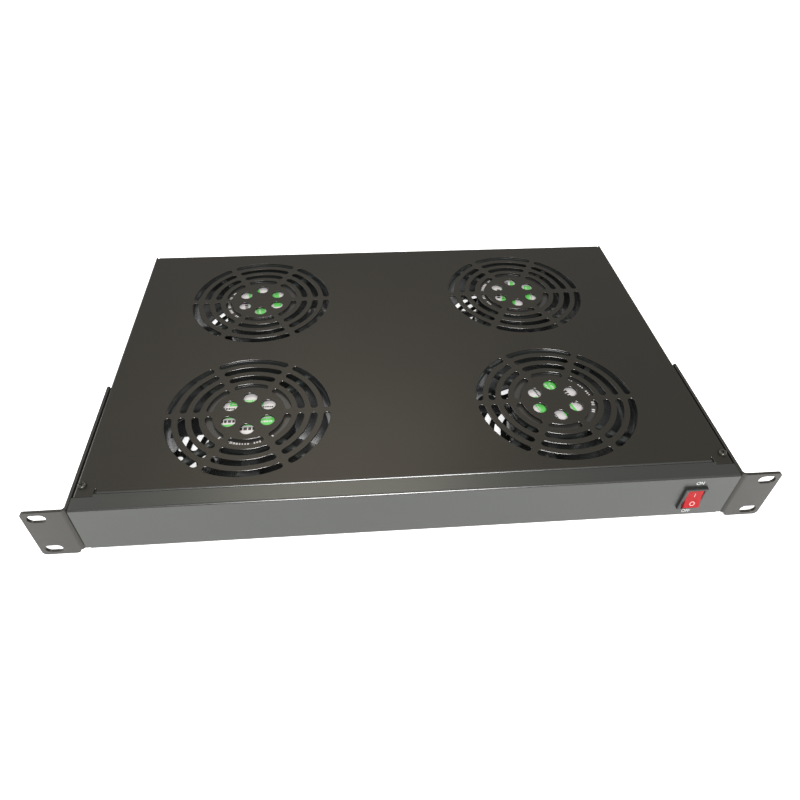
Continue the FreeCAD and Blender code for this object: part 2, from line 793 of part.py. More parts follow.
def make_fan_stator(name, column, line):
    """Laminated core of an outer-rotor motor: poles parted by slots, pressed on the boss."""
    body = new_body(f"fan_stator_{name}")
    place_fan(body, column, line)
    core = new_sketch(body, "core", at=f"{BOSS_LOW} + stator_low")
    flat_sided(core, "(hub_inside - stator_gap - stator_flat)", CORE_FLATS, ("0", "0"))
    flat_sided(core, "(boss_radius + press_gap)", CORE_FLATS, ("0", "0"))
    pad(body, core, "stator_tall")
    slots = new_sketch(body, "slots", at=f"{BOSS_LOW} + stator_low")
    wide = "stator_slot / 2"
    inner, outer = "(boss_radius + stator_yoke)", "hub_inside"
    rectangle(slots, inner, f"0 - {wide}", outer, wide)
    rectangle(slots, f"0 - {outer}", f"0 - {wide}", f"0 - {inner}", wide)
    rectangle(slots, f"0 - {wide}", inner, wide, outer)
    rectangle(slots, f"0 - {wide}", f"0 - {outer}", wide, f"0 - {inner}")
    pocket(body, slots)


def make_blades(body):
    """Five blades on the axis: each is a cambered section run out along its span, steep at the
    low edge and flatter past the crown, and cut to its outline as seen from above."""
    section = new_sketch(body, "section", "YZ_Plane", "blade_root")
    half = "(blade_tip_wide / 2)"
    low = f"(blade_crown - {half} * blade_low_slope)"
    high = f"(blade_crown + {half} * blade_high_slope)"
    outline(
        section,
        (f"0 - {half}", f"{low} - blade_thick"),
        ("0", "blade_crown - blade_thick"),
        (half, f"{high} - blade_thick"),
        (half, high),
        ("0", "blade_crown"),
        (f"0 - {half}", low),
    )
    span = pad(body, section, "fan_bore - blade_root")
    edges = new_sketch(body, "edges")
    middle = "(blade_root + fan_bore) / 2"
    for side in (-1, 1):
        root = f"{side} * blade_root_wide / 2"
        swell = f"{side} * ((blade_root_wide + blade_tip_wide) / 4 + blade_edge_bow)"
        corners = (
            ("blade_root - blade_thick", root),
            ("blade_root", root),
            (middle, swell),
            ("fan_bore", f"{side} * {half}"),
            ("fan_bore", f"{side} * blade_tip_wide"),
            ("blade_root - blade_thick", f"{side} * blade_tip_wide"),
        )
        outline(edges, *corners)
    trimmed = pocket(body, edges)
    ring = body.newObject("PartDesign::MultiTransform", f"{body.Name}_blades")
    around = body.newObject("PartDesign::PolarPattern", f"{body.Name}_around")
    around.Axis = (edges, ["N_Axis"])
    around.Angle = 360
    around.Occurrences = BLADES
    ring.Originals = [span, trimmed]
    ring.Transformations = [around]
    body.Tip = ring
    doc.recompute()


def make_fan_impeller(name, column, line):
    body = new_body(f"fan_impeller_{name}")
    place_fan(body, column, line, FAN_TURN[name])
    make_blades(body)
    trim = new_sketch(body, "trim")
    flat_sided(trim, TIP_RADIUS, BORE_FLATS, ("0", "0"))
    circles(trim, "fan_size", ("0", "0"))
    pocket(body, trim)
    hub = new_sketch(body, "hub", at="hub_low")
    flat_sided(hub, "hub_radius", BORE_FLATS, ("0", "0"))
    pad(body, hub, "hub_tall")
    cup = new_sketch(body, "cup", at="hub_low + hub_floor")
    flat_sided(cup, "hub_inside", CORE_FLATS, ("0", "0"))
    pocket(body, cup, "hub_tall")
    seat = new_sketch(body, "shaft_seat", at="hub_low")
    flat_sided(seat, "boss_radius", REPEATED_FLATS, ("0", "0"))
    pad(body, seat, f"{BOSS_LOW} - hub_low - axial_gap")
    grip = new_sketch(body, "shaft_hole", at="hub_low + hub_floor / 2")
    flat_sided(grip, "(shaft_radius + press_gap)", HEAD_FLATS, ("0", "0"))
    pocket(body, grip, "hub_tall")


def make_fan_shaft(name, column, line):
    body = new_body(f"fan_shaft_{name}")
    place_fan(body, column, line)
    rod = new_sketch(body, "rod", at="hub_low + hub_floor / 2")
    circles(rod, "shaft_radius", ("0", "0"))
    pad(body, rod, f"{MOTOR_LOW} - axial_gap - hub_low - hub_floor / 2")


# --- switch: snap-in housing, rocker on two trunnions, tab terminals -----------------------

ROCKER_FLOOR = (
    "(rocker_back * cos(rocker_tilt) + rocker_end_radius * sin(rocker_tilt) + rocker_floor_gap)"
)
SWITCH_BACK = f"({FRONT} + switch_body_deep)"


def make_switch_housing():
    body = new_body("switch_housing")
    shell = new_sketch(body, "shell", "XZ_Plane", FRONT)
    box_outline(shell, "switch_x", "switch_z", "switch_body_wide", "switch_body_tall")
    pad(body, shell, "switch_body_deep")
    bezel = new_sketch(body, "bezel", "XZ_Plane", FRONT)
    box_outline(bezel, "switch_x", "switch_z", "bezel_wide", "bezel_tall")
    pad(body, bezel, "bezel_thick", towards=-1)
    front = f"({FRONT} - bezel_thick)"
    fillet(
        body,
        "bezel_round",
        lambda m, v: near(m.y, front) and not runs_along(v, "Y"),
    )
    mouth = new_sketch(body, "mouth", "XZ_Plane", front)
    box_outline(
        mouth,
        "switch_x",
        "switch_z",
        "(rocker_wide + 2 * rocker_side_gap)",
        "(2 * rocker_end_radius + 2 * rocker_end_gap)",
    )
    pocket(body, mouth, f"bezel_thick + pivot_depth + {ROCKER_FLOOR}")
    bearings = new_sketch(body, "bearings", "YZ_Plane", "switch_x")
    circles(bearings, "pivot_radius + rocker_fit", (PIVOT_Y, "switch_z"))
    pocket(body, bearings, "switch_body_wide", both_ways=True)


def make_switch_rocker():
    """Drawn level about its pivot, then tipped so that the ON end is pressed in."""
    body = new_body("switch_rocker")
    body.Placement = FreeCAD.Placement(
        FreeCAD.Vector(), FreeCAD.Rotation(FreeCAD.Vector(-1, 0, 0), size("rocker_tilt"))
    )
    body.setExpression(".Placement.Base.x", linked("switch_x"))
    body.setExpression(".Placement.Base.y", linked(PIVOT_Y))
    body.setExpression(".Placement.Base.z", linked("switch_z"))
    body.setExpression(".Placement.Rotation.Angle", linked("rocker_tilt * 1 deg"))
    profile = new_sketch(body, "profile", "YZ_Plane", "0")
    crest, back, radius = size("rocker_crest"), size("rocker_back"), size("rocker_end_radius")
    front_z = math.sqrt(radius**2 - crest**2)
    back_z = math.sqrt(radius**2 - back**2)
    valley = (crest - size("rocker_valley"), 0.0)
    vector = FreeCAD.Vector
    profile.addGeometry(Part.LineSegment(vector(-crest, -front_z), vector(-valley[0], 0)))
    profile.addGeometry(Part.LineSegment(vector(-valley[0], 0), vector(-crest, front_z)))
    profile.addGeometry(Part.LineSegment(vector(back, back_z), vector(back, -back_z)))
    circle = Part.Circle(vector(), vector(0, 0, 1), radius)
    low, high = math.atan2(back_z, back), math.atan2(front_z, -crest)
    profile.addGeometry(Part.ArcOfCircle(circle, low, high))
    profile.addGeometry(Part.ArcOfCircle(circle, -high, -low))
    joins = ((0, 2, 1, 1), (1, 2, 3, 2), (3, 1, 2, 1), (2, 2, 4, 2), (4, 1, 0, 1))
    for one, one_end, other, other_end in joins:
        profile.addConstraint(Sketcher.Constraint("Coincident", one, one_end, other, other_end))
    for arc in (3, 4):
        profile.addConstraint(Sketcher.Constraint("Coincident", arc, 3, -1, 1))
    bind(profile, "Radius", 3, to="rocker_end_radius")
    bind(profile, "DistanceX", 1, 2, -1, 1, to="rocker_crest")
    bind(profile, "DistanceX", 0, 1, -1, 1, to="rocker_crest")
    bind(profile, "DistanceX", -1, 1, 2, 1, to="rocker_back")
    profile.addConstraint(Sketcher.Constraint("Vertical", 2))
    pin_point(profile, 0, 2, ("rocker_valley - rocker_crest", "0"))
    pad(body, profile, "rocker_wide", both_ways=True)
    trunnions = new_sketch(body, "trunnions", "YZ_Plane", "0")
    circles(trunnions, "pivot_radius", ("0", "0"))
    pad(body, trunnions, "rocker_wide + 2 * pivot_long", both_ways=True)


def make_switch_terminals():
    body = new_body("switch_terminals")
    tags = new_sketch(body, "tags", "XZ_Plane", SWITCH_BACK)
    for side in (-1, 1):
        centre = f"(switch_z + {side} * tag_pitch / 2)"
        box_outline(tags, "switch_x", centre, "tag_wide", "tag_thick")
    pad(body, tags, "tag_long")


# --- mains inlet ---------------------------------------------------------------------------

INLET_FACE = f"({TRAY_BACK} + inlet_flange_thick)"
INLET_INNER = f"({TRAY_BACK} - inlet_body_deep)"
SOCKET_FLOOR = f"({INLET_FACE} - socket_deep)"


def pin_outlines(sketch, gap):
    """Line and neutral below, earth between and above them."""
    for x, z in (("-1", "-1"), ("0", "1"), ("1", "-1")):
        box_outline(
            sketch,
            f"({x} * pin_pitch / 2)",
            f"(inlet_z + {z} * pin_offset / 2)",
            f"(pin_wide + 2 * {gap})",
            f"(pin_tall + 2 * {gap})",
        )


def make_power_inlet():
    body = new_body("power_inlet")
    flange = new_sketch(body, "flange", "XZ_Plane", TRAY_BACK)
    box_outline(flange, "0", "inlet_z", "inlet_flange_wide", "inlet_flange_tall")
    pad(body, flange, "inlet_flange_thick")
    fillet(body, "inlet_flange_round", lambda m, v: runs_along(v, "Y"))
    shell = new_sketch(body, "shell", "XZ_Plane", TRAY_BACK)
    box_outline(shell, "0", "inlet_z", "inlet_body_wide", "inlet_body_tall")
    pad(body, shell, "inlet_body_deep", towards=-1)
    socket = new_sketch(body, "socket", "XZ_Plane", INLET_FACE)
    wide, low, high = "socket_wide / 2", "inlet_z - socket_tall / 2", "inlet_z + socket_tall / 2"
    outline(
        socket,
        (f"0 - {wide}", low),
        (wide, low),
        (wide, f"{high} - socket_corner"),
        (f"{wide} - socket_corner", high),
        (f"socket_corner - {wide}", high),
        (f"0 - {wide}", f"{high} - socket_corner"),
    )
    pocket(body, socket, "socket_deep", towards=-1)
    holes = new_sketch(body, "holes", "XZ_Plane", INLET_FACE)
    small_rounds(holes, CLEAR_M3, *mirrored_pairs("inlet_screw_pitch / 2", "inlet_z"))
    pocket(body, holes, "inlet_flange_thick", towards=-1)
    slots = new_sketch(body, "pin_slots", "XZ_Plane", INLET_FACE)
    pin_outlines(slots, "press_gap")
    pocket(body, slots, towards=-1)


def make_inlet_pins():
    body = new_body("inlet_pins")
    blades = new_sketch(body, "blades", "XZ_Plane", f"{INLET_INNER} - pin_tail")
    pin_outlines(blades, "0")
    pad(body, blades, f"{SOCKET_FLOOR} + pin_long - {INLET_INNER} + pin_tail")


# --- screws and nuts -----------------------------------------------------------------------

def add_screws(body, group, plane, seat, towards, thread, reach, places):
    """Pan head screws of one size: heads on the seat, shanks into it."""
    heads = new_sketch(body, f"{group}_heads", plane, seat)
    flat_sided(heads, f"{thread}_head_radius", HEAD_FLATS, *places)
    pad(body, heads, f"{thread}_head_tall", towards=-towards)
    shanks = new_sketch(body, f"{group}_shanks", plane, seat)
    small_rounds(shanks, f"{thread}_radius", *places)
    pad(body, shanks, reach, towards=towards)


def add_hex_screws(body, group, seat, reach, places):
    """Hexagon head thread-forming screws from below."""
    heads = new_sketch(body, f"{group}_heads", "XY_Plane", seat)
    flat_sided(heads, "m4_head_radius", 6, *places)
    pad(body, heads, "m4_head_tall", towards=-1)
    shanks = new_sketch(body, f"{group}_shanks", "XY_Plane", seat)
    small_rounds(shanks, "m4_radius", *places)
    pad(body, shanks, reach)


def add_nuts(body, group, plane, seat, towards, places):
    """Hexagon nuts that sit against the seat."""
    sketch = new_sketch(body, group, plane, seat)
    flat_sided(sketch, "m3_nut", 6, *places)
    small_rounds(sketch, TAPPED_M3, *places)
    pad(body, sketch, "m3_nut_tall", towards=towards)


def make_fasteners():
    cover = new_body("cover_screws")
    top_places = mirrored_pairs(COVER_SCREW_X, COVER_SCREW_Y)
    add_screws(cover, "top", "XY_Plane", TOP, -1, "m3", "screw_reach", top_places)
    rear_places = mirrored_pairs("rear_screw_pitch / 2", REAR_SCREW_Z)
    add_screws(cover, "rear", "XZ_Plane", BACK, -1, "m3", "screw_reach", rear_places)

    fans = new_body("fan_screws")
    add_hex_screws(fans, "fan", UNDER, "sheet + fan_flange + screw_tip", fan_screw_places())

    inlet_places = mirrored_pairs("inlet_screw_pitch / 2", "inlet_z")
    inlet = new_body("inlet_screws")
    inlet_reach = "inlet_flange_thick + sheet + m3_nut_tall + screw_tip"
    add_screws(inlet, "inlet", "XZ_Plane", INLET_FACE, -1, "m3", inlet_reach, inlet_places)
    inlet_nuts = new_body("inlet_nuts")
    add_nuts(inlet_nuts, "nuts", "XZ_Plane", f"{TRAY_BACK} - sheet", -1, inlet_places)

    ears = new_body("ear_screws")
    nuts = new_body("ear_nuts")
    for side, name in ((-1, "left"), (1, "right")):
        face = f"{side} * {EAR_OUTSIDE}"
        reach = f"{EAR_OUTSIDE} - {TRAY_HALF} + sheet + m3_nut_tall + screw_tip"
        add_screws(ears, name, "YZ_Plane", face, -side, "m3", reach, ear_screw_places())
        wall = f"{side} * ({TRAY_HALF} - sheet)"
        add_nuts(nuts, name, "YZ_Plane", wall, -side, ear_screw_places())


# --- wiring --------------------------------------------------------------------------------

BLOCK_MID_Z = f"({FLOOR} + block_tall / 2)"


def make_terminal_block():
    body = new_body("terminal_block")
    base = new_sketch(body, "base", "XY_Plane", FLOOR)
    box_outline(base, "0", BLOCK_Y, "block_wide", "block_long")
    pad(body, base, "block_tall")
    ways = new_sketch(body, "screw_wells", "XY_Plane", f"{FLOOR} + block_tall")
    pitch = "(block_wide / block_ways)"
    for way in range(round(size("block_ways"))):
        x = f"((({way} + 0.5) * {pitch}) - block_wide / 2)"
        box_outline(ways, x, BLOCK_Y, "block_way", "(block_long / 2)")
    pocket(body, ways, "block_tall / 2", towards=-1)


def lead(wide, thick, *places):
    """A flat twin lead, set on edge, along straight runs that meet in tangent bends."""
    points = [FreeCAD.Vector(*(size(value) for value in place)) for place in places]
    edges = []
    start = points[0]
    for before, corner, after in zip(points, points[1:], points[2:]):
        back, ahead = before - corner, after - corner
        half_turn = (math.pi - back.getAngle(ahead)) / 2
        cut = 0.45 * min(back.Length, ahead.Length)
        bend = cut / math.tan(half_turn)
        first = corner + back.normalize() * cut
        last = corner + ahead.normalize() * cut
        inwards = (back + ahead).normalize()
        reach = math.hypot(cut, bend) - bend
        edges.append(Part.makeLine(start, first))
        edges.append(Part.Arc(first, corner + inwards * reach, last).toShape())
        start = last
    edges.append(Part.makeLine(start, points[-1]))
    up = FreeCAD.Vector(0, 0, size(wide) / 2)
    across = (points[1] - points[0]).cross(up).normalize() * (size(thick) / 2)
    corners = [points[0] + up + across, points[0] + up - across]
    corners += [points[0] - up - across, points[0] - up + across]
    section = Part.makePolygon(corners + corners[:1])
    return Part.Wire(edges).makePipeShell([section], True, False)


def make_leads(name, shapes):
    group = doc.addObject("Part::Feature", name)
    group.Label = name
    group.Shape = Part.makeCompound(shapes)
    group.Placement = FreeCAD.Placement()


def make_wiring():
    """Each fan's lead and both mains leads meet in the terminal block between the fans."""
    fan_runs = []
    for column, line in FANS.values():
        fan_side = f"{column} * ({FAN_X} - fan_size / 2)"
        fan_y = f"{FAN_Y} + {line} * fan_pitch_y"
        lane = f"{column} * ({FAN_X} - fan_size / 2 + block_wide / 2) / 2"
        entry_y = f"{BLOCK_Y} + {2 * line - 1} * block_long / 4"
        fan_runs.append(
            lead(
                "lead_wide",
                "lead_thick",
                (fan_side, fan_y, BLOCK_MID_Z),
                (lane, fan_y, BLOCK_MID_Z),
                (lane, entry_y, BLOCK_MID_Z),
                (f"{column} * block_wide / 2", entry_y, BLOCK_MID_Z),
            )
        )
    make_leads("fan_leads", fan_runs)
    tag_end = f"({SWITCH_BACK} + tag_long)"
    drop_y = f"({tag_end} + {BLOCK_Y}) / 2"
    tail_end = f"({INLET_INNER} - pin_tail)"
    block_back = f"({BLOCK_Y} + block_long / 2)"
    to_switch = lead(
        "mains_wide",
        "mains_thick",
        ("switch_x", tag_end, "switch_z"),
        ("switch_x", f"{tag_end} + 2 * switch_body_tall", "switch_z"),
        ("switch_x", drop_y, BLOCK_MID_Z),
        ("switch_x", BLOCK_Y, BLOCK_MID_Z),
        ("block_wide / 2", BLOCK_Y, BLOCK_MID_Z),
    )
    to_inlet = lead(
        "mains_wide",
        "mains_thick",
        ("0", tail_end, "inlet_z"),
        ("0", f"{tail_end} - inlet_body_tall", "inlet_z"),
        ("0", f"{tail_end} - 3 * inlet_body_tall", BLOCK_MID_Z),
        ("0", block_back, BLOCK_MID_Z),
    )
    make_leads("mains_leads", [to_switch, to_inlet])


# --- everything together -------------------------------------------------------------------

make_base_tray()
make_top_cover()
make_rack_ear("left_rack_ear", -1)
make_rack_ear("right_rack_ear", 1)
for fan, place in FANS.items():
    make_fan_frame(fan, *place)
    make_fan_stator(fan, *place)
    make_fan_impeller(fan, *place)
    make_fan_shaft(fan, *place)
make_switch_housing()
make_switch_rocker()
make_switch_terminals()
make_power_inlet()
make_inlet_pins()
make_fasteners()
make_terminal_block()
make_wiring()
doc.recompute()

NODE_TYPES = ("PartDesign::Body", "Part::Feature")
os.makedirs("parts", exist_ok=True)
for item in doc.Objects:
    if "Invalid" in item.State or "Error" in item.State:
        raise RuntimeError(f"{item.Name} did not rebuild: {item.State}")
for node in doc.Objects:
    if node.TypeId in NODE_TYPES:
        if node.Shape.isNull() or not node.Shape.isValid():
            raise RuntimeError(f"{node.Label} is not a valid shape")
        node.Shape.exportStep(f"parts/{node.Label}.step")
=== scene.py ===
import json
import math

import bmesh
import bpy
from mathutils import Matrix, Vector
from mathutils.geometry import delaunay_2d_cdt


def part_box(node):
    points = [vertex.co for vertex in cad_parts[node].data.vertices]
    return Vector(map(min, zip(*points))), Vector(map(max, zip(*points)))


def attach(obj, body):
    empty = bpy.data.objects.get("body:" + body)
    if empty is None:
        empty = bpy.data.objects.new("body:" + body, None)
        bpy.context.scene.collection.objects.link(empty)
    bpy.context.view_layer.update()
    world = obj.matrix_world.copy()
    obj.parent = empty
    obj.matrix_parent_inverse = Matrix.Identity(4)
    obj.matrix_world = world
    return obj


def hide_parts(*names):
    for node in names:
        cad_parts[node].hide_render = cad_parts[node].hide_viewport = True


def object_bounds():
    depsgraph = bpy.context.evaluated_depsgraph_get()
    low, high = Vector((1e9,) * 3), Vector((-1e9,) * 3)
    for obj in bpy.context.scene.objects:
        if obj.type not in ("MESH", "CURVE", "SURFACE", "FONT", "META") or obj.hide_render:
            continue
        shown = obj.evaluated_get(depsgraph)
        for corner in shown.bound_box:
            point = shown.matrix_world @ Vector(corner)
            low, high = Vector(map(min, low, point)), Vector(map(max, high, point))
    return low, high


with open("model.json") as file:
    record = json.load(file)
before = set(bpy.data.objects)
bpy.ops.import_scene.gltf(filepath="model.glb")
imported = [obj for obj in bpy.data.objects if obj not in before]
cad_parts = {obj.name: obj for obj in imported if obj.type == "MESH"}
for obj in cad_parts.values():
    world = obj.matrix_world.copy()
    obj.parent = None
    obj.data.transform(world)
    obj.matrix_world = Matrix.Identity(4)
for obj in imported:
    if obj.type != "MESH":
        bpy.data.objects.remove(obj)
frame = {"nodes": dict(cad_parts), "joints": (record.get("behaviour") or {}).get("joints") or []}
cad_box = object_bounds()

# --- Base tray ------------------------------------------------------------------------------
# One blank of 1.2 mm mild steel, punched flat and folded up into the front panel with its
# lip, the floor, the two sides and the back, then powder coated black.

MM = 0.001
SHEET = 1.2 * MM
SHEET_GAP = 0.1 * MM
BURR = 0.1 * MM
FOLD_STEPS = 8
SAME_POINT = 1e-7
REAL_EDGE = math.radians(32)

tray_low, tray_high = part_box("base_tray")
cover_low, cover_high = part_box("top_cover")
fans = {
    joint["name"].removeprefix("spin_"): Vector(joint["pos_m"])
    for joint in frame["joints"]
    if joint["name"].startswith("spin_")
}

GRILLE_SECTORS, GRILLE_RINGS = 6, 4
GRILLE_SPOKE = 4.4 * MM
FIRST_RING, RING_PITCH = 25.2 * MM, 9.2 * MM
SLOT_WIDTH = 5 * MM
OUTER_STEPS, INNER_STEPS, CAP_STEPS = 14, 10, 8
FAN_HOLE_PITCH = 105 * MM
CLEAR_M3, CLEAR_M4, THREAD_M3 = 1.7 * MM, 2.2 * MM, 1.55 * MM

TONE_DRIFT, GLOSS_DRIFT = 0.15, 0.06
PEEL_DEPTH, PEEL_STRENGTH = 0.03 * MM, 0.35


def powder_coat(name, tone, roughness, specular, tint, grain=0.5 * MM, patch=60 * MM):
    """Thermoset powder: fine orange peel, a slow drift of tone and a little uneven gloss."""
    material = bpy.data.materials.new(name)
    material.use_nodes = True
    nodes, links = material.node_tree.nodes, material.node_tree.links
    shader = nodes["Principled BSDF"]
    shader.inputs["Specular IOR Level"].default_value = specular
    shader.inputs["Specular Tint"].default_value = (*tint, 1)
    place = nodes.new("ShaderNodeTexCoord")

    def noise(size, detail):
        node = nodes.new("ShaderNodeTexNoise")
        node.inputs["Scale"].default_value = 1 / size
        node.inputs["Detail"].default_value = detail
        links.new(place.outputs["Object"], node.inputs["Vector"])
        return node

    drift, peel = noise(patch, 2), noise(grain, 3)
    blend = nodes.new("ShaderNodeMix")
    blend.data_type = "RGBA"
    blend.inputs["A"].default_value = (*((1 - TONE_DRIFT) * value for value in tone), 1)
    blend.inputs["B"].default_value = (*((1 + TONE_DRIFT) * value for value in tone), 1)
    links.new(drift.outputs["Fac"], blend.inputs["Factor"])
    links.new(blend.outputs["Result"], shader.inputs["Base Color"])
    gloss = nodes.new("ShaderNodeMapRange")
    gloss.inputs["To Min"].default_value = roughness - GLOSS_DRIFT
    gloss.inputs["To Max"].default_value = roughness + GLOSS_DRIFT
    links.new(peel.outputs["Fac"], gloss.inputs["Value"])
    links.new(gloss.outputs["Result"], shader.inputs["Roughness"])
    bump = nodes.new("ShaderNodeBump")
    bump.inputs["Strength"].default_value = PEEL_STRENGTH
    bump.inputs["Distance"].default_value = PEEL_DEPTH
    links.new(peel.outputs["Fac"], bump.inputs["Height"])
    links.new(bump.outputs["Normal"], shader.inputs["Normal"])
    return material


def arc(radius, start, end, steps, centre=(0, 0)):
    """Points along a circle from one angle to the other, both ends included."""
    return [
        (
            centre[0] + radius * math.cos(start + (end - start) * i / steps),
            centre[1] + radius * math.sin(start + (end - start) * i / steps),
        )
        for i in range(steps + 1)
    ]


def ring_slot(inner, sector):
    """A curved slot between two spokes, with both ends fully rounded."""
    cap, middle, outer = SLOT_WIDTH / 2, inner + SLOT_WIDTH / 2, inner + SLOT_WIDTH
    start = math.asin((GRILLE_SPOKE / 2 + cap) / middle)
    turn = 2 * math.pi / GRILLE_SECTORS
    low, high = sector * turn + start, (sector + 1) * turn - start
    points = arc(outer, low, high, OUTER_STEPS)
    end = (middle * math.cos(high), middle * math.sin(high))
    points += arc(cap, high, high + math.pi, CAP_STEPS, end)[1:-1]
    points += arc(inner, high, low, INNER_STEPS)
    begin = (middle * math.cos(low), middle * math.sin(low))
    points += arc(cap, low + math.pi, low + 2 * math.pi, CAP_STEPS, begin)[1:-1]
    return points


def grille(centre):
    """Four rings of slots, in the flat of the blank."""
    radii = [FIRST_RING + RING_PITCH * ring for ring in range(GRILLE_RINGS)]
    shapes = [ring_slot(radius, sector) for radius in radii for sector in range(GRILLE_SECTORS)]
    return [[(centre[0] + x, centre[1] + y) for x, y in shape] for shape in shapes]


def circle(x, y, radius, steps=24):
    return arc(radius, 0, 2 * math.pi, steps, (x, y))[:-1]


def rectangle(left, low, right, high):
    return [(left, low), (right, low), (right, high), (left, high)]


def window(x, y, wide, tall):
    """A rectangle about its middle."""
    return rectangle(x - wide / 2, y - tall / 2, x + wide / 2, y + tall / 2)


def eased(shape, outer, width):
    """The outline drawn back into the metal by the width of the eased edge."""
    points = [Vector(point) for point in shape]
    area = sum(a.cross(b) for a, b in zip(points, points[1:] + points[:1]))
    reach = width if (area > 0) == outer else -width
    moved = []
    for i, corner in enumerate(points):
        before = (corner - points[i - 1]).normalized().orthogonal()
        after = (points[(i + 1) % len(points)] - corner).normalized().orthogonal()
        moved.append(corner + (before + after) * reach / (1 + before.dot(after)))
    return moved


def punched_blank(shapes, top, thick=SHEET, ease=BURR):
    """A plate with its outline and holes, its edges eased, its upper face at the height given.
    The first shape is the outline and the others are holes."""
    sheet = bmesh.new()
    flat_verts, outlines = [], []
    for number, shape in enumerate(shapes):
        inner = eased(shape, number == 0, ease)
        levels = ((inner, 0), (shape, ease), (shape, thick - ease), (inner, thick))
        rings = [[sheet.verts.new((*point, top - down)) for point in loop] for loop, down in levels]
        count = len(shape)
        for upper, lower in zip(rings, rings[1:]):
            for i in range(count):
                j = (i + 1) % count
                sheet.faces.new((upper[i], upper[j], lower[j], lower[i]))
        outlines.append(range(len(flat_verts), len(flat_verts) + count))
        flat_verts += inner
    merged_within = 1e-9
    verts, _, faces, _, _, inside = delaunay_2d_cdt(flat_verts, [], outlines, 1, merged_within)
    metal = [face for face, shapes_round in zip(faces, inside) if len(shapes_round) == 1]
    for height in (top, top - thick):
        cap = [sheet.verts.new((*point, height)) for point in verts]
        for face in metal:
            sheet.faces.new([cap[i] for i in face])
    bmesh.ops.remove_doubles(sheet, verts=sheet.verts, dist=SAME_POINT)
    return sheet


def fold(sheet, line, outwards, face, turn_to, radius, within):
    """Folds what lies beyond a line by a right angle. face is the height of the outer side of
    the bend, turn_to is 1 for a wall that goes up and -1 for one that goes down."""
    axis = 0 if outwards[0] else 1
    sign = outwards[axis]
    length = radius * math.pi / 2
    normal = Vector((abs(outwards[0]), abs(outwards[1]), 0))
    for step in range(FOLD_STEPS + 1):
        cut = (line + sign * length * step / FOLD_STEPS) * normal
        everything = sheet.verts[:] + sheet.edges[:] + sheet.faces[:]
        bmesh.ops.bisect_plane(sheet, geom=everything, plane_co=cut, plane_no=normal)
    for vert in sheet.verts:
        beyond = sign * (vert.co[axis] - line)
        if beyond <= SAME_POINT or not within(vert.co):
            continue
        depth = turn_to * (vert.co.z - face)
        reach = radius - depth
        angle = min(beyond / length, 1) * math.pi / 2
        past = max(beyond - length, 0)
        vert.co[axis] = line + sign * reach * math.sin(angle)
        vert.co.z = face + turn_to * (radius - reach * math.cos(angle) + past)


NEARLY_UPRIGHT, NEARLY_LEVEL = 0.1, 0.985


def sheet_piece(name, sheet, flat_coat, bend_coat):
    """The folded sheet as a piece; on its bends and edges the powder is thinner and glossier."""
    mesh = bpy.data.meshes.new(name)
    sheet.normal_update()
    bmesh.ops.recalc_face_normals(sheet, faces=sheet.faces)
    for face in sheet.faces:
        face.material_index = int(NEARLY_UPRIGHT < abs(face.normal.z) < NEARLY_LEVEL)
    sheet.to_mesh(mesh)
    sheet.free()
    mesh.shade_smooth()
    mesh.set_sharp_from_angle(angle=REAL_EDGE)
    mesh.materials.append(flat_coat)
    mesh.materials.append(bend_coat)
    piece = bpy.data.objects.new(name, mesh)
    bpy.context.scene.collection.objects.link(piece)
    weighted = piece.modifiers.new("flat faces stay flat", "WEIGHTED_NORMAL")
    weighted.keep_sharp = True
    return piece


tray_black = powder_coat("tray_black", (0.018, 0.019, 0.017), 0.34, 0.72, (0.97, 1.0, 0.95))
bend_black = powder_coat("bend_black", (0.018, 0.018, 0.016), 0.22, 1.0, (1, 1, 1))

TRAY_BEND = 1.6 * MM
LIP_DEPTH, LIP_END_IN, CORNER_REACH = 12.4 * MM, 12.5 * MM, 2 * MM
TAB_WIDE, TAB_LONG = 12.2 * MM, 20 * MM
NOTCH = 1.4 * MM
FRONT_CORNER_GAP, BACK_CORNER_GAP = 0.6 * MM, 0.2 * MM
SWITCH_X, SWITCH_Z = 186 * MM, 1.4 * MM
SWITCH_WINDOW = (13.1 * MM, 19.3 * MM)
INLET_Z = -1 * MM
INLET_WINDOW = (27.9 * MM, 20.3 * MM)
INLET_SCREW_X = 20 * MM
EAR_SCREW_Y = (26 * MM, 82 * MM)

bend_length = TRAY_BEND * math.pi / 2
under, top, front = tray_low.z, tray_high.z, tray_low.y
panel_half = tray_high.x
tray_half = panel_half - SHEET
tray_top = top - SHEET - SHEET_GAP
front_line = front + TRAY_BEND
back_line = tray_high.y - TRAY_BEND
side_root = tray_half - TRAY_BEND
lip_half = panel_half - LIP_END_IN
lip_line = front_line - bend_length - (top - under - 2 * TRAY_BEND)
lip_end = lip_line - bend_length - (LIP_DEPTH - TRAY_BEND)
side_front = front_line + FRONT_CORNER_GAP
side_back = back_line - BACK_CORNER_GAP
tab_front = cover_low.y
tab_back = tab_front + TAB_LONG
EAR_SCREW_Z = (top + under) / 2
COVER_SCREW = (cover_high.x - 4.4 * MM, 17.5 * MM)
REAR_SCREW = (150 * MM, top - 5 * MM)


def on_panel(z):
    """Where a height on the folded panel lies in the flat blank."""
    return front_line - bend_length - (z - under - TRAY_BEND)


def on_back(z):
    return back_line + bend_length + (z - under - TRAY_BEND)


def on_side(z):
    return side_root + bend_length + (z - under - TRAY_BEND)


tab_line = on_side(tray_top) - TRAY_BEND


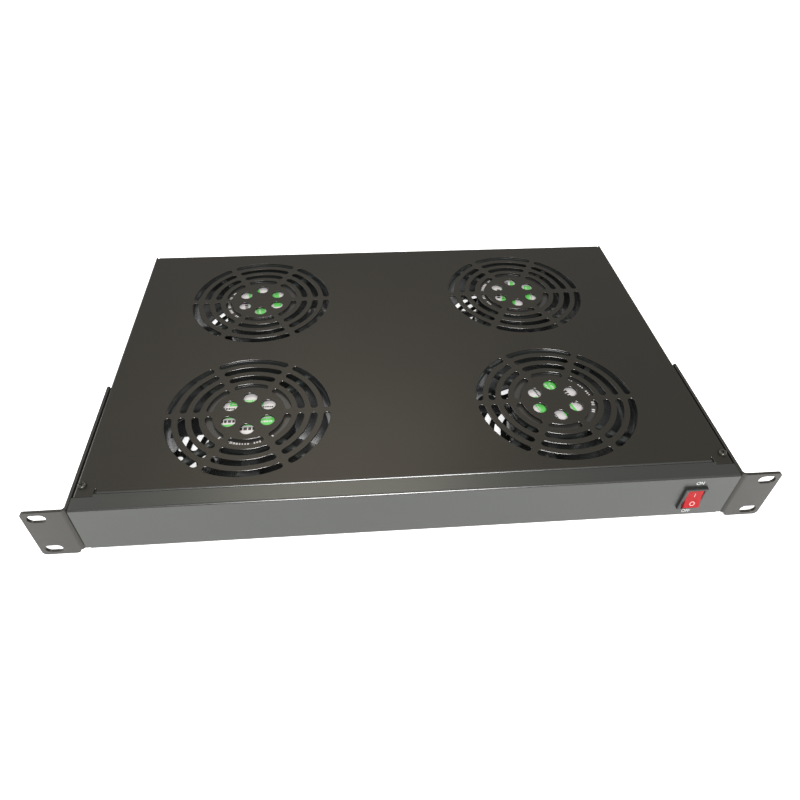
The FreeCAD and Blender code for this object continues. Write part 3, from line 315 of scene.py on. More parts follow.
def tray_outline():
    """The blank before folding: floor in the middle, panel and lip, back and sides round it."""
    side_end = on_side(tray_top)
    tab_end = tab_line + bend_length + (TAB_WIDE - TRAY_BEND)
    right = [
        (lip_half, lip_end),
        (lip_half, lip_end + CORNER_REACH),
        (panel_half, lip_end + CORNER_REACH),
        (panel_half, front_line - bend_length),
        (side_root, front_line - bend_length),
        (side_root, side_front),
        (side_end, side_front),
        (side_end, tab_front - NOTCH),
        (tab_line, tab_front - NOTCH),
        (tab_line, tab_front),
        (tab_end, tab_front),
        (tab_end, tab_back),
        (tab_line, tab_back),
        (tab_line, tab_back + NOTCH),
        (side_end, tab_back + NOTCH),
        (side_end, side_back),
        (side_root, side_back),
        (side_root, back_line + bend_length),
        (tray_half, back_line + bend_length),
        (tray_half, on_back(tray_top)),
    ]
    left = [(-x, y) for x, y in reversed(right)]
    return right + left


tray_shapes = [
    tray_outline(),
    window(SWITCH_X, on_panel(SWITCH_Z), *SWITCH_WINDOW),
    window(0, on_back(INLET_Z), *INLET_WINDOW),
]
tab_hole = tab_line + bend_length + (tray_half - TRAY_BEND - COVER_SCREW[0])
for side in (-1, 1):
    tray_shapes.append(circle(side * INLET_SCREW_X, on_back(INLET_Z), CLEAR_M3))
    tray_shapes.append(circle(side * REAR_SCREW[0], on_back(REAR_SCREW[1]), THREAD_M3))
    tray_shapes.append(circle(side * tab_hole, COVER_SCREW[1], THREAD_M3))
    for y in EAR_SCREW_Y:
        tray_shapes.append(circle(side * on_side(EAR_SCREW_Z), y, CLEAR_M3))
for centre in fans.values():
    tray_shapes += grille(centre)
    for corner in (-1, 1):
        reach = corner * FAN_HOLE_PITCH / 2
        tray_shapes.append(circle(centre.x + reach, centre.y + reach, CLEAR_M4))

tray_sheet = punched_blank(tray_shapes, under + SHEET)
for side in (-1, 1):
    def in_tab(co, side=side):
        return side * co.x > 0 and tab_front - BURR < co.y < tab_back + BURR

    def in_side(co, side=side):
        return side * co.x > 0 and side_front - BURR < co.y < side_back + BURR

    fold(tray_sheet, side * tab_line, (side, 0), under, 1, TRAY_BEND, in_tab)
    fold(tray_sheet, side * side_root, (side, 0), under, 1, TRAY_BEND, in_side)
fold(tray_sheet, lip_line, (0, -1), under, 1, TRAY_BEND, lambda co: co.y < 0)
fold(tray_sheet, front_line, (0, -1), under, 1, TRAY_BEND, lambda co: co.y < 0)
fold(tray_sheet, back_line, (0, 1), under, 1, TRAY_BEND, lambda co: co.y > side_back)
base_tray = sheet_piece("base_tray_folded", tray_sheet, tray_black, bend_black)
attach(base_tray, "chassis")
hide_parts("base_tray")

# --- Fan frames -----------------------------------------------------------------------------
# Die-cast aluminium frames, 120 mm square and 38 mm deep, painted gloss black. Four struts
# carry the motor base in the middle of the bore, with its bearing tube below. Two screws each
# hold them to the tray.

fan_low = under + SHEET
FAN_HALF, FAN_CORNER, FAN_DEEP = 60 * MM, 3 * MM, 38 * MM
FAN_BORE, BELL_FLARE = 57.4 * MM, 0.7 * MM
WAIST_RADIUS = 61 * MM
FLANGE = 5 * MM
FAN_HOLE = 2.15 * MM
CAST_EDGE, WAIST_EDGE = 0.3 * MM, 0.01 * MM
MOTOR_TOP = FAN_DEEP - 0.7 * MM
MOTOR_LOW = MOTOR_TOP - 6 * MM
MOTOR_RADIUS, MOTOR_RIM = 32 * MM, 1.3 * MM
LABEL_SEAT = MOTOR_TOP - 0.5 * MM
BOSS_RADIUS, BOSS_LONG, BEARING_BORE = 7 * MM, 23 * MM, 2.03 * MM
STRUT_WIDE, STRUT_TALL, STRUT_DROP = 5 * MM, 5 * MM, 1.7 * MM
STRUT_IN_MOTOR, STRUT_IN_FRAME = 0.6 * MM, 0.3 * MM
ROUND_STEPS, BOSS_STEPS = 96, 32
FLOW_TONE, FLOW_GLOSS = 0.2, 0.25
FLOW_DEPTH, FLOW_STRENGTH = 0.04 * MM, 0.25
LACQUER_ROUGHNESS = 0.08


def smooth_paint(name, tone, roughness, coat=0.0, wave=9 * MM, metallic=0.0, specular=0.5):
    """Even paint or moulded plastic: slight flow marks in the gloss and a drift of tone."""
    material = bpy.data.materials.new(name)
    material.use_nodes = True
    nodes, links = material.node_tree.nodes, material.node_tree.links
    shader = nodes["Principled BSDF"]
    shader.inputs["Coat Weight"].default_value = coat
    shader.inputs["Coat Roughness"].default_value = LACQUER_ROUGHNESS
    shader.inputs["Metallic"].default_value = metallic
    shader.inputs["Specular IOR Level"].default_value = specular
    place = nodes.new("ShaderNodeTexCoord")
    flow = nodes.new("ShaderNodeTexNoise")
    flow.inputs["Scale"].default_value = 1 / wave
    flow.inputs["Detail"].default_value = 4
    links.new(place.outputs["Object"], flow.inputs["Vector"])
    blend = nodes.new("ShaderNodeMix")
    blend.data_type = "RGBA"
    blend.inputs["A"].default_value = (*((1 - FLOW_TONE) * value for value in tone), 1)
    blend.inputs["B"].default_value = (*((1 + FLOW_TONE) * value for value in tone), 1)
    links.new(flow.outputs["Fac"], blend.inputs["Factor"])
    links.new(blend.outputs["Result"], shader.inputs["Base Color"])
    gloss = nodes.new("ShaderNodeMapRange")
    gloss.inputs["To Min"].default_value = roughness * (1 - FLOW_GLOSS)
    gloss.inputs["To Max"].default_value = roughness * (1 + FLOW_GLOSS)
    links.new(flow.outputs["Fac"], gloss.inputs["Value"])
    links.new(gloss.outputs["Result"], shader.inputs["Roughness"])
    bump = nodes.new("ShaderNodeBump")
    bump.inputs["Strength"].default_value = FLOW_STRENGTH
    bump.inputs["Distance"].default_value = FLOW_DEPTH
    links.new(flow.outputs["Fac"], bump.inputs["Height"])
    links.new(bump.outputs["Normal"], shader.inputs["Normal"])
    return material


def rounded(points, radii, steps=5):
    """The closed outline with each corner rounded to its radius, where that isn't nought."""
    softer = []
    for i, radius in enumerate(radii):
        corner = Vector(points[i])
        if not radius:
            softer.append(tuple(corner))
            continue
        back = (Vector(points[i - 1]) - corner).normalized()
        ahead = (Vector(points[(i + 1) % len(points)]) - corner).normalized()
        half = back.angle(ahead) / 2
        middle = corner + (back + ahead).normalized() * radius / math.sin(half)
        start = corner + back * radius / math.tan(half) - middle
        end = corner + ahead * radius / math.tan(half) - middle
        low = math.atan2(start.y, start.x)
        span = (math.atan2(end.y, end.x) - low + math.pi) % (2 * math.pi) - math.pi
        softer += arc(radius, low, low + span, steps, middle)
    return softer


def turned(profile, steps):
    """A turned body: a closed outline of radius and height, swept round the axis."""
    builder = bmesh.new()
    rings = []
    for radius, height in profile:
        if radius < SAME_POINT:
            rings.append([builder.verts.new((0, 0, height))] * steps)
        else:
            ring = circle(0, 0, radius, steps)
            rings.append([builder.verts.new((x, y, height)) for x, y in ring])
    for lower, upper in zip(rings, rings[1:] + rings[:1]):
        for i in range(steps):
            j = (i + 1) % steps
            corners = list(dict.fromkeys((lower[i], lower[j], upper[j], upper[i])))
            if len(corners) > 2:
                builder.faces.new(corners)
    return builder


def bar(profile, start, end):
    """A straight bar along X with the section given across and up."""
    builder = bmesh.new()
    ends = [[builder.verts.new((x, across, up)) for across, up in profile] for x in (start, end)]
    builder.faces.new(ends[0])
    builder.faces.new(ends[1][::-1])
    for i in range(len(profile)):
        j = (i + 1) % len(profile)
        builder.faces.new((ends[0][i], ends[0][j], ends[1][j], ends[1][i]))
    return builder


def finished(name, builders, materials):
    """One mesh from several bodies, its facets shaded smooth up to its real edges."""
    whole = bmesh.new()
    for builder in builders:
        bmesh.ops.recalc_face_normals(builder, faces=builder.faces)
        part = bpy.data.meshes.new(name)
        builder.to_mesh(part)
        builder.free()
        whole.from_mesh(part)
        bpy.data.meshes.remove(part)
    mesh = bpy.data.meshes.new(name)
    whole.to_mesh(mesh)
    whole.free()
    mesh.shade_smooth()
    mesh.set_sharp_from_angle(angle=REAL_EDGE)
    for material in materials:
        mesh.materials.append(material)
    return mesh


def placed(name, mesh, location, body, turn=0.0):
    """The mesh as a piece of its body, turned about its own upright axis and set in place."""
    mesh.transform(Matrix.Rotation(turn, 4, "Z"))
    piece = bpy.data.objects.new(name, mesh)
    bpy.context.scene.collection.objects.link(piece)
    piece.location = location
    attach(piece, body)
    return piece


def coat_node(node, material):
    """Gives a solid its finish, on every slot of its mesh."""
    mesh = frame["nodes"][node].data
    mesh.materials.clear()
    mesh.materials.append(material)


def fan_frame_mesh():
    """Two square flanges, the round waist between them, motor base, boss and four struts."""
    half = FAN_HALF
    square = rounded(rectangle(-half, -half, half, half), [FAN_CORNER] * 4)
    waist = [
        (max(-half, min(half, x)), max(-half, min(half, y)))
        for x, y in circle(0, 0, WAIST_RADIUS, ROUND_STEPS)
    ]
    bore = circle(0, 0, FAN_BORE, ROUND_STEPS)
    bell = circle(0, 0, FAN_BORE + BELL_FLARE, ROUND_STEPS)
    corner = FAN_HOLE_PITCH / 2
    holes = [circle(x, y, FAN_HOLE) for x in (-corner, corner) for y in (-corner, corner)]
    motor = rounded(
        [
            (0, MOTOR_LOW),
            (MOTOR_RADIUS, MOTOR_LOW),
            (MOTOR_RADIUS, MOTOR_TOP),
            (MOTOR_RADIUS - MOTOR_RIM, MOTOR_TOP),
            (MOTOR_RADIUS - MOTOR_RIM, LABEL_SEAT),
            (0, LABEL_SEAT),
        ],
        [0, 0.5 * MM, 0.5 * MM, 0.3 * MM, 0, 0],
    )
    boss = rectangle(BEARING_BORE, MOTOR_LOW - BOSS_LONG, BOSS_RADIUS, MOTOR_LOW)
    builders = [
        punched_blank([square, bell] + holes, FAN_DEEP, FLANGE, CAST_EDGE),
        punched_blank([waist, bore], FAN_DEEP - FLANGE, FAN_DEEP - 2 * FLANGE, WAIST_EDGE),
        punched_blank([square, bell] + holes, FLANGE, FLANGE, CAST_EDGE),
        turned(motor, ROUND_STEPS),
        turned(boss, BOSS_STEPS),
    ]
    strut_high = FAN_DEEP - STRUT_DROP
    strut = rounded(
        rectangle(-STRUT_WIDE / 2, strut_high - STRUT_TALL, STRUT_WIDE / 2, strut_high),
        [0.6 * MM, 0.6 * MM, 1.4 * MM, 1.4 * MM],
    )
    for quarter in range(4):
        arm = bar(strut, MOTOR_RADIUS - STRUT_IN_MOTOR, FAN_BORE + STRUT_IN_FRAME)
        turn = Matrix.Rotation(math.radians(45 + 90 * quarter), 4, "Z")
        bmesh.ops.transform(arm, matrix=turn, verts=arm.verts)
        builders.append(arm)
    return finished("fan_frame_casting", builders, [casting_black])


casting_black = smooth_paint("casting_black", (0.019, 0.022, 0.021), 0.32, coat=0.2, specular=0.35)
core_steel = smooth_paint("core_steel", (0.28, 0.28, 0.29), 0.4, metallic=1.0, wave=1.5 * MM)
frame_mesh = fan_frame_mesh()
for fan, centre in fans.items():
    place = (centre.x, centre.y, fan_low)
    casting = placed(f"fan_casting_{fan}", frame_mesh.copy(), place, "chassis")
    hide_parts(f"fan_frame_{fan}")
    coat_node(f"fan_stator_{fan}", core_steel)

# --- Impellers and shafts -------------------------------------------------------------------
# Five blades moulded with their hub cup in black plastic: each is steeper at the root, thin at
# both edges and hollow on its pressure side. The hub is pressed on a ground steel shaft.

HUB_RADIUS, HUB_INSIDE = 31 * MM, 27 * MM
HUB_LOW, HUB_TALL, HUB_FLOOR = 3 * MM, 26 * MM, 2.5 * MM
HUB_DISH, DISH_SLOPE, DISH_DEPTH = 9 * MM, 0.6 * MM, 0.4 * MM
SHAFT_BORE, BORE_FLOOR = 2.01 * MM, 1.25 * MM
SLEEVE_GAP = 0.8 * MM
HUB_STEPS = 72
TIP_RADIUS = 55.9 * MM
BLADES = 5
BLADE_ROWS, BLADE_COLUMNS = 9, 14
BLADE_IN_HUB = 1 * MM
ROOT_HALF, TIP_WIDER, EDGE_BOW = 14 * MM, 11 * MM, 1.5 * MM
ROOT_THICK, TIP_THINNER = 2.6 * MM, 1.0 * MM
BLADE_CROWN = 18.4 * MM
TIP_SLOPE, ROOT_STEEPER = 0.49, 0.35
CAMBER = 4.9
FAN_TURN = {"front_left": 20, "front_right": 8, "rear_left": 47, "rear_right": 33}


def blade(turn):
    """One blade as rows of sections from root to tip, its upper side and then its lower."""
    builder = bmesh.new()
    rows, columns = BLADE_ROWS, BLADE_COLUMNS
    root = HUB_RADIUS - BLADE_IN_HUB
    sides = []
    for way in (1, 0):
        side = []
        for row in range(rows + 1):
            out = row / rows
            radius = root + (TIP_RADIUS - root) * out
            half = ROOT_HALF + TIP_WIDER * out + EDGE_BOW * math.sin(math.pi * out)
            thick = ROOT_THICK - TIP_THINNER * out
            line = []
            for column in range(columns + 1):
                across = -math.cos(math.pi * column / columns)
                y = across * half
                slope = TIP_SLOPE * (1 + ROOT_STEEPER * (1 - out))
                height = BLADE_CROWN + slope * y - CAMBER * y * y
                height -= thick / 2 - (way - 0.5) * thick * math.sqrt(1 - across**2)
                angle = turn + y / radius
                line.append((radius * math.cos(angle), radius * math.sin(angle), height))
            side.append(line)
        sides.append([[builder.verts.new(point) for point in line] for line in side])
    upper, lower = sides
    for row in range(rows):
        upper_in, upper_out = upper[row], upper[row + 1]
        lower_in, lower_out = lower[row], lower[row + 1]
        for i in range(columns):
            j = i + 1
            builder.faces.new([upper_in[i], upper_in[j], upper_out[j], upper_out[i]])
            builder.faces.new([lower_in[i], lower_out[i], lower_out[j], lower_in[j]])
    for i in range(columns):
        j = i + 1
        builder.faces.new([upper[rows][i], upper[rows][j], lower[rows][j], lower[rows][i]])
        builder.faces.new([upper[0][j], upper[0][i], lower[0][i], lower[0][j]])
    bmesh.ops.remove_doubles(builder, verts=builder.verts, dist=SAME_POINT)
    return builder


def impeller_mesh():
    """The hub cup, open towards the motor, with its sleeve for the shaft and its blades."""
    hub_high, floor_high = HUB_LOW + HUB_TALL, HUB_LOW + HUB_FLOOR
    sleeve_high = MOTOR_LOW - BOSS_LONG - SLEEVE_GAP
    dish_high, bore_low = HUB_LOW + DISH_DEPTH, HUB_LOW + BORE_FLOOR
    cup = rounded(
        [
            (0, dish_high),
            (HUB_DISH, dish_high),
            (HUB_DISH + DISH_SLOPE, HUB_LOW),
            (HUB_RADIUS, HUB_LOW),
            (HUB_RADIUS, hub_high),
            (HUB_INSIDE, hub_high),
            (HUB_INSIDE, floor_high),
            (BOSS_RADIUS, floor_high),
            (BOSS_RADIUS, sleeve_high),
            (SHAFT_BORE, sleeve_high),
            (SHAFT_BORE, bore_low),
            (0, bore_low),
        ],
        [0, 0, 0, 1.8 * MM, 0.4 * MM, 0.4 * MM, 0, 0, 0, 0, 0, 0],
    )
    blades = [blade(2 * math.pi * i / BLADES) for i in range(BLADES)]
    return finished("impeller_moulding", [turned(cup, HUB_STEPS)] + blades, [blade_black])


blade_black = smooth_paint("blade_black", (0.020, 0.022, 0.021), 0.26)
shaft_steel = smooth_paint("shaft_steel", (0.5, 0.5, 0.5), 0.2, metallic=1.0, wave=1.5 * MM)
rotor_mesh = impeller_mesh()
for fan, centre in fans.items():
    place, turn = (centre.x, centre.y, fan_low), math.radians(FAN_TURN[fan])
    rotor = placed(f"impeller_{fan}", rotor_mesh.copy(), place, f"rotor_{fan}", turn)
    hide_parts(f"fan_impeller_{fan}")
    coat_node(f"fan_shaft_{fan}", shaft_steel)

# --- Motor labels ---------------------------------------------------------------------------
# A round foil label glued to each motor base: silver-white with green bands, rows of small
# print kept as plain dashes, and a black rim with a ring of marks.

LABEL_RADIUS = 30.5 * MM
LABEL_FOIL = 0.08 * MM
FIELD_RADIUS, KEYLINE_OUTER, KEYLINE_INNER = 23.8 * MM, 0.4 * MM, 0.7 * MM
MARK_RING, MARK_HALF = 27.6 * MM, 1.1 * MM
DASHES_IN_WORD, DASH_GAP, WORD_GAP = 5, 0.3, 0.9
BLACK, WHITE, GREEN = 0, 1, 2
LABEL_TURN = {"front_left": 0, "front_right": 107, "rear_left": -80, "rear_right": -100}
foil_white = smooth_paint("foil_white", (0.52, 0.50, 0.50), 0.35, metallic=0.2)
foil_green = smooth_paint("foil_green", (0.09, 0.42, 0.08), 0.35)
print_black = smooth_paint("print_black", (0.024, 0.023, 0.021), 0.35)
label_materials = [print_black, foil_white, foil_green]


def flat_patch(builder, points, height, thickness, material):
    """A thin solid patch on a flat outline."""
    low = [builder.verts.new((x, y, height)) for x, y in points]
    high = [builder.verts.new((x, y, height + thickness)) for x, y in points]
    faces = [builder.faces.new(high), builder.faces.new(low[::-1])]
    for i in range(len(points)):
        j = (i + 1) % len(points)
        faces.append(builder.faces.new((low[i], low[j], high[j], high[i])))
    for face in faces:
        face.material_index = material


def clipped_bar(left, low, right, high, radius, steps=6):
    """A bar whose ends follow the label's round edge."""
    def edge(y):
        return math.sqrt(max(radius * radius - y * y, 0))

    rows = [low + (high - low) * i / steps for i in range(steps + 1)]
    right_side = [(min(right, edge(y)), y) for y in rows]
    left_side = [(max(left, -edge(y)), y) for y in reversed(rows)]
    return right_side + left_side


def label_mesh():
    """Foil and print as thin layers, one over the other."""
    builder = bmesh.new()
    step = LABEL_FOIL / 4
    inside = FIELD_RADIUS - KEYLINE_INNER

    def disc(radius, height, thickness, material):
        flat_patch(builder, circle(0, 0, radius, ROUND_STEPS), height, thickness, material)

    disc(LABEL_RADIUS, 0, LABEL_FOIL, BLACK)
    disc(FIELD_RADIUS, LABEL_FOIL, step, WHITE)
    disc(FIELD_RADIUS - KEYLINE_OUTER, LABEL_FOIL + step / 2, step / 2, BLACK)
    disc(inside, LABEL_FOIL + step, step, WHITE)
    # Green bands: left, low, right and high edge in millimetres from the middle.
    bands = (
        (-20, -2.6, -6, 0.2),
        (-20, -10.2, 8, -8.2),
        (7, -11, 22, 1),
        (-14.5, 9.6, 9.6, 15.6),
    )
    for band in bands:
        points = clipped_bar(*(value * MM for value in band), inside)
        flat_patch(builder, points, LABEL_FOIL + 2 * step, step, GREEN)
    # Rows of dashes: left end, middle height, length and height in millimetres, and ink.
    rows = (
        (-18.5, 7.2, 10, 1.7, BLACK),
        (9, 7.8, 7.5, 1.4, BLACK),
        (-19, -5.4, 12, 2.5, BLACK),
        (-6, -13.2, 12, 2.7, BLACK),
        (8.8, -3.2, 10, 1.4, WHITE),
        (8.8, -6.8, 10, 1.5, WHITE),
        (-4, 14.4, 9, 1.0, WHITE),
        (-13, 11.6, 5, 1.0, WHITE),
    )
    for left, y, length, tall, material in rows:
        x, count = left, 0
        while x < left + length:
            wide = tall * (0.55 + 0.35 * math.sin(7 * x + y) ** 2)
            dash = rectangle(x * MM, (y - tall / 2) * MM, (x + wide) * MM, (y + tall / 2) * MM)
            flat_patch(builder, dash, LABEL_FOIL + 3 * step, step, material)
            count += 1
            x += wide + tall * (DASH_GAP if count % DASHES_IN_WORD else WORD_GAP)
    # Marks round the rim: where each run starts and how far it goes, in degrees.
    for start, span in ((228, 8), (243, 5), (249, 27), (282, 10), (302, 10)):
        for mark in range(0, span, 4):
            turn = math.radians(start + mark)
            out = Vector((math.cos(turn), math.sin(turn)))
            along = MARK_HALF * out
            across = (0.5 + 0.15 * math.sin(5 * mark)) * MM * Vector((-out.y, out.x))
            middle = MARK_RING * out
            corners = (
                middle - across + along,
                middle + across + along,
                middle + across - along,
                middle - across - along,
            )
            points = [tuple(corner) for corner in corners]
            flat_patch(builder, points, LABEL_FOIL, step, WHITE)
    mesh = bpy.data.meshes.new("motor_label")
    bmesh.ops.recalc_face_normals(builder, faces=builder.faces)
    builder.to_mesh(mesh)
    builder.free()
    for material in label_materials:
        mesh.materials.append(material)
    return mesh


label = label_mesh()
for fan, centre in fans.items():
    place, turn = (centre.x, centre.y, fan_low + LABEL_SEAT), math.radians(LABEL_TURN[fan])
    placed(f"motor_label_{fan}", label.copy(), place, "chassis", turn)

# --- Wiring and terminal block --------------------------------------------------------------
# Flat twin leads in black PVC run from each fan to a nylon screw block on the floor between
# the fans, and from there to the switch and the mains inlet.

lead_black = smooth_paint("lead_black", (0.02, 0.02, 0.02), 0.5)
block_nylon = smooth_paint("block_nylon", (0.62, 0.60, 0.54), 0.45)
coat_node("fan_leads", lead_black)
coat_node("mains_leads", lead_black)
coat_node("terminal_block", block_nylon)

# --- Mains inlet ----------------------------------------------------------------------------
# A three-pin appliance inlet moulded in black thermoset, its pins of nickel-plated brass. Its
# flange is screwed to the back wall.


def softened(node, body, material, width):
    """The piece with its edges eased, standing for its plain solid."""
    builder = bmesh.new()
    builder.from_mesh(frame["nodes"][node].data)
    same_corner, flat_within, bevel_over = 1e-6, math.radians(1), math.radians(35)
    bmesh.ops.remove_doubles(builder, verts=builder.verts, dist=same_corner)
    every = {"verts": builder.verts, "edges": builder.edges}
    bmesh.ops.dissolve_limit(builder, angle_limit=flat_within, **every)
    piece = placed(f"{node}_eased", finished(node, [builder], [material]), (0, 0, 0), body)
    edges = piece.modifiers.new("eased edges", "BEVEL")
    edges.width, edges.segments = width, 2
    edges.limit_method, edges.angle_limit = "ANGLE", bevel_over
    normals = piece.modifiers.new("flat faces stay flat", "WEIGHTED_NORMAL")
    normals.keep_sharp = True
    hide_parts(node)
    return piece


inlet_black = smooth_paint("inlet_black", (0.018, 0.018, 0.018), 0.45, wave=2 * MM)
pin_nickel = smooth_paint("pin_nickel", (0.62, 0.60, 0.55), 0.25, metallic=1.0, wave=2 * MM)
softened("power_inlet", "chassis", inlet_black, width=0.3 * MM)
coat_node("inlet_pins", pin_nickel)

# --- Rocker switch --------------------------------------------------------------------------
# A snap-in switch moulded in nylon: black bezel and housing, red rocker with its two marks in
# white, and two plated brass tabs behind. ON and OFF are printed on the panel beside it.

switch_black = smooth_paint("switch_black", (0.02, 0.02, 0.019), 0.38, wave=2 * MM)
rocker_red = smooth_paint("rocker_red", (0.33, 0.012, 0.014), 0.4, wave=4 * MM, specular=0.15)
mark_pink = smooth_paint("mark_pink", (0.72, 0.46, 0.44), 0.5, specular=0.2)
print_grey = smooth_paint("print_grey", (0.60, 0.62, 0.60), 0.6, specular=0.2)
softened("switch_housing", "chassis", switch_black, width=0.25 * MM)
softened("switch_rocker", "rocker", rocker_red, width=0.25 * MM)
coat_node("switch_terminals", pin_nickel)

PRINT = 0.06 * MM
PIVOT_Y = 0.2 * MM
ROCKER_TILT = math.radians(-10)
# The rocker's face is two halves, each leaning out from the middle.
HALF_LEAN = math.atan2(0.8, 7.22)
HALF_OUT, HALF_UP = 4.8 * MM, 3.8 * MM
STROKE = (0.45 * MM, 3.1 * MM)
RING_OUTER, RING_INNER, RING_STEPS = 1.75 * MM, 1.3 * MM, 40
PRINT_EDGE = 0.02 * MM
rocker_at = Matrix.Translation((SWITCH_X, PIVOT_Y, SWITCH_Z))
rocker_at @= Matrix.Rotation(ROCKER_TILT, 4, "X")


def on_rocker(way):
    """A frame on the middle of one half of the rocker: X to the right, Y up, Z outwards."""
    middle = Matrix.Translation((0, -HALF_OUT, way * HALF_UP))
    return rocker_at @ middle @ Matrix.Rotation(math.pi / 2 + HALF_LEAN * way, 4, "X")


stroke = bmesh.new()
flat_patch(stroke, window(0, 0, *STROKE), -PRINT, 2 * PRINT, 0)
ring_shapes = [circle(0, 0, radius, RING_STEPS) for radius in (RING_OUTER, RING_INNER)]
ring = punched_blank(ring_shapes, PRINT, 2 * PRINT, PRINT_EDGE)
for name, builder, way in (("on_stroke", stroke, 1), ("off_ring", ring, -1)):
    bmesh.ops.transform(builder, matrix=on_rocker(way), verts=builder.verts)
    placed(name, finished(name, [builder], [mark_pink]), (0, 0, 0), "rocker")


WORD_TALL, WORD_NARROW, STROKE_SPREAD = 3.1 * MM, 0.8, 0.03 * MM
CAPITALS_OF_SIZE = 0.72
WORD_X = SWITCH_X + 1 * MM


def printed_word(word, z):
    """A screen-printed word on the front panel, its middle at the height given."""
    curve = bpy.data.curves.new(f"printed_{word}", "FONT")
    curve.body = word
    curve.size = WORD_TALL / CAPITALS_OF_SIZE
    curve.align_x, curve.align_y = "CENTER", "CENTER"
    curve.offset = STROKE_SPREAD
    curve.extrude = PRINT / 2
    letters = bpy.data.objects.new(f"printed_{word}", curve)
    bpy.context.scene.collection.objects.link(letters)
    bpy.context.view_layer.update()
    mesh = bpy.data.meshes.new_from_object(letters)
    bpy.data.objects.remove(letters)
    mesh.materials.clear()
    mesh.transform(Matrix.Diagonal((WORD_NARROW, 1, 1, 1)))
    mesh.materials.append(print_grey)
    place = (WORD_X, front - PRINT / 2 + PRINT_EDGE, z)
    piece = placed(f"print_{word.lower()}", mesh, place, "chassis")
    piece.rotation_euler.x = math.pi / 2


printed_word("ON", 16 * MM)
printed_word("OFF", -13.6 * MM)

# --- Top cover ------------------------------------------------------------------------------
# An inverted channel from one blank of the same sheet, powder coated black: punched over each
# fan, folded down at both sides, with a short flange behind the front lip and a screwed skirt
# over the back.

COVER_BEND = 2 * MM
EDGE_BEND = 1.6 * MM
FRONT_FLANGE, REAR_SKIRT = 9 * MM, 9 * MM
RELIEF, SKIRT_RELIEF = 1.5 * MM, 0.6 * MM
CORNER_TAB = 12.6 * MM
HUB_HOLE_RING, HUB_HOLE, HUB_HOLE_STEPS = 15.5 * MM, 5 * MM, 36
ON_LINE, BESIDE = 1e-6, 1e-5
side_line = cover_high.x - COVER_BEND
side_drop = cover_high.z - cover_low.z - COVER_BEND
side_length = COVER_BEND * math.pi / 2 + side_drop
edge_arc = EDGE_BEND * math.pi / 2
relief_outside = cover_high.x - CORNER_TAB
relief_inside = relief_outside - RELIEF
cover_front = tab_front + CORNER_REACH
cover_back = cover_high.y
flange_line = cover_front + EDGE_BEND
skirt_line = cover_back - EDGE_BEND
skirt_half = cover_high.x - COVER_BEND - RELIEF


def cover_outline():
    """The blank before folding: the sides, front flange and skirt lie out flat."""
    side = side_line + side_length
    flange = flange_line - edge_arc - (FRONT_FLANGE - EDGE_BEND)
    skirt = skirt_line + edge_arc + (REAR_SKIRT - EDGE_BEND)
    notch = flange_line + NOTCH
    right = [
        (relief_inside, flange),
        (relief_inside, notch - RELIEF / 2),
        *arc(RELIEF / 2, math.pi, 0, 8, (relief_inside + RELIEF / 2, notch)),
        (relief_outside, tab_front),
        (side, tab_front),
        (side, cover_back),
        (skirt_half + RELIEF, cover_back),
        (skirt_half + RELIEF, skirt_line - SKIRT_RELIEF),
        (skirt_half, skirt_line - SKIRT_RELIEF),
        (skirt_half, skirt),
    ]
    left = [(-x, y) for x, y in reversed(right)]
    return right + left


cover_shapes = [cover_outline()]
on_skirt = skirt_line + edge_arc + (cover_high.z - EDGE_BEND - REAR_SCREW[1])
on_wall = side_line + COVER_BEND * math.pi / 2 + (cover_high.z - COVER_BEND - EAR_SCREW_Z)
for side in (-1, 1):
    cover_shapes.append(circle(side * COVER_SCREW[0], COVER_SCREW[1], CLEAR_M3))
    cover_shapes.append(circle(side * REAR_SCREW[0], on_skirt, CLEAR_M3))
    for y in EAR_SCREW_Y:
        cover_shapes.append(circle(side * on_wall, y, CLEAR_M3))
for centre in fans.values():
    cover_shapes += grille(centre)
    for sector in range(GRILLE_SECTORS):
        turn = (sector + 0.5) * 2 * math.pi / GRILLE_SECTORS
        x, y = HUB_HOLE_RING * math.cos(turn), HUB_HOLE_RING * math.sin(turn)
        cover_shapes.append(circle(centre.x + x, centre.y + y, HUB_HOLE, HUB_HOLE_STEPS))


def in_wall(co):
    return abs(co.x) > side_line - ON_LINE


def in_flange(co):
    return abs(co.x) < relief_inside + BESIDE and co.y < flange_line + ON_LINE


def in_skirt(co):
    return abs(co.x) < skirt_half + BESIDE and co.y > skirt_line - ON_LINE


cover_sheet = punched_blank(cover_shapes, cover_high.z)
for side in (-1, 1):
    fold(cover_sheet, side * side_line, (side, 0), cover_high.z, -1, COVER_BEND, in_wall)
fold(cover_sheet, flange_line, (0, -1), cover_high.z, -1, EDGE_BEND, in_flange)
fold(cover_sheet, skirt_line, (0, 1), cover_high.z, -1, EDGE_BEND, in_skirt)
WARM = (1.0, 0.97, 0.90)
# The cover carries the tray's black powder, but its tone is set darker than the tray's: painted
# shade, so that the top reads darker than the front panel.
cover_black_painted_shade = powder_coat("cover_black_painted_shade", (0.0124, 0.0110, 0.0082), 0.41, 0.37, WARM)
top_cover = sheet_piece("top_cover_folded", cover_sheet, cover_black_painted_shade, bend_black)
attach(top_cover, "chassis")
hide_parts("top_cover")

# --- Rack ears ------------------------------------------------------------------------------
# Two angle brackets folded from 2 mm steel, slotted for the rack's rails, coated like the
# case and screwed to its sides.

ear_black = powder_coat("ear_black", (0.017, 0.016, 0.014), 0.38, 0.48, WARM)
for ear in ("left_rack_ear", "right_rack_ear"):
    softened(ear, "chassis", ear_black, width=0.3 * MM)

# --- Screws and nuts ------------------------------------------------------------------------
# Black cross-recess screws hold the cover and the ears; zinc-plated steel ones hold the fans
# and the inlet. The nuts inside are zinc-plated too.

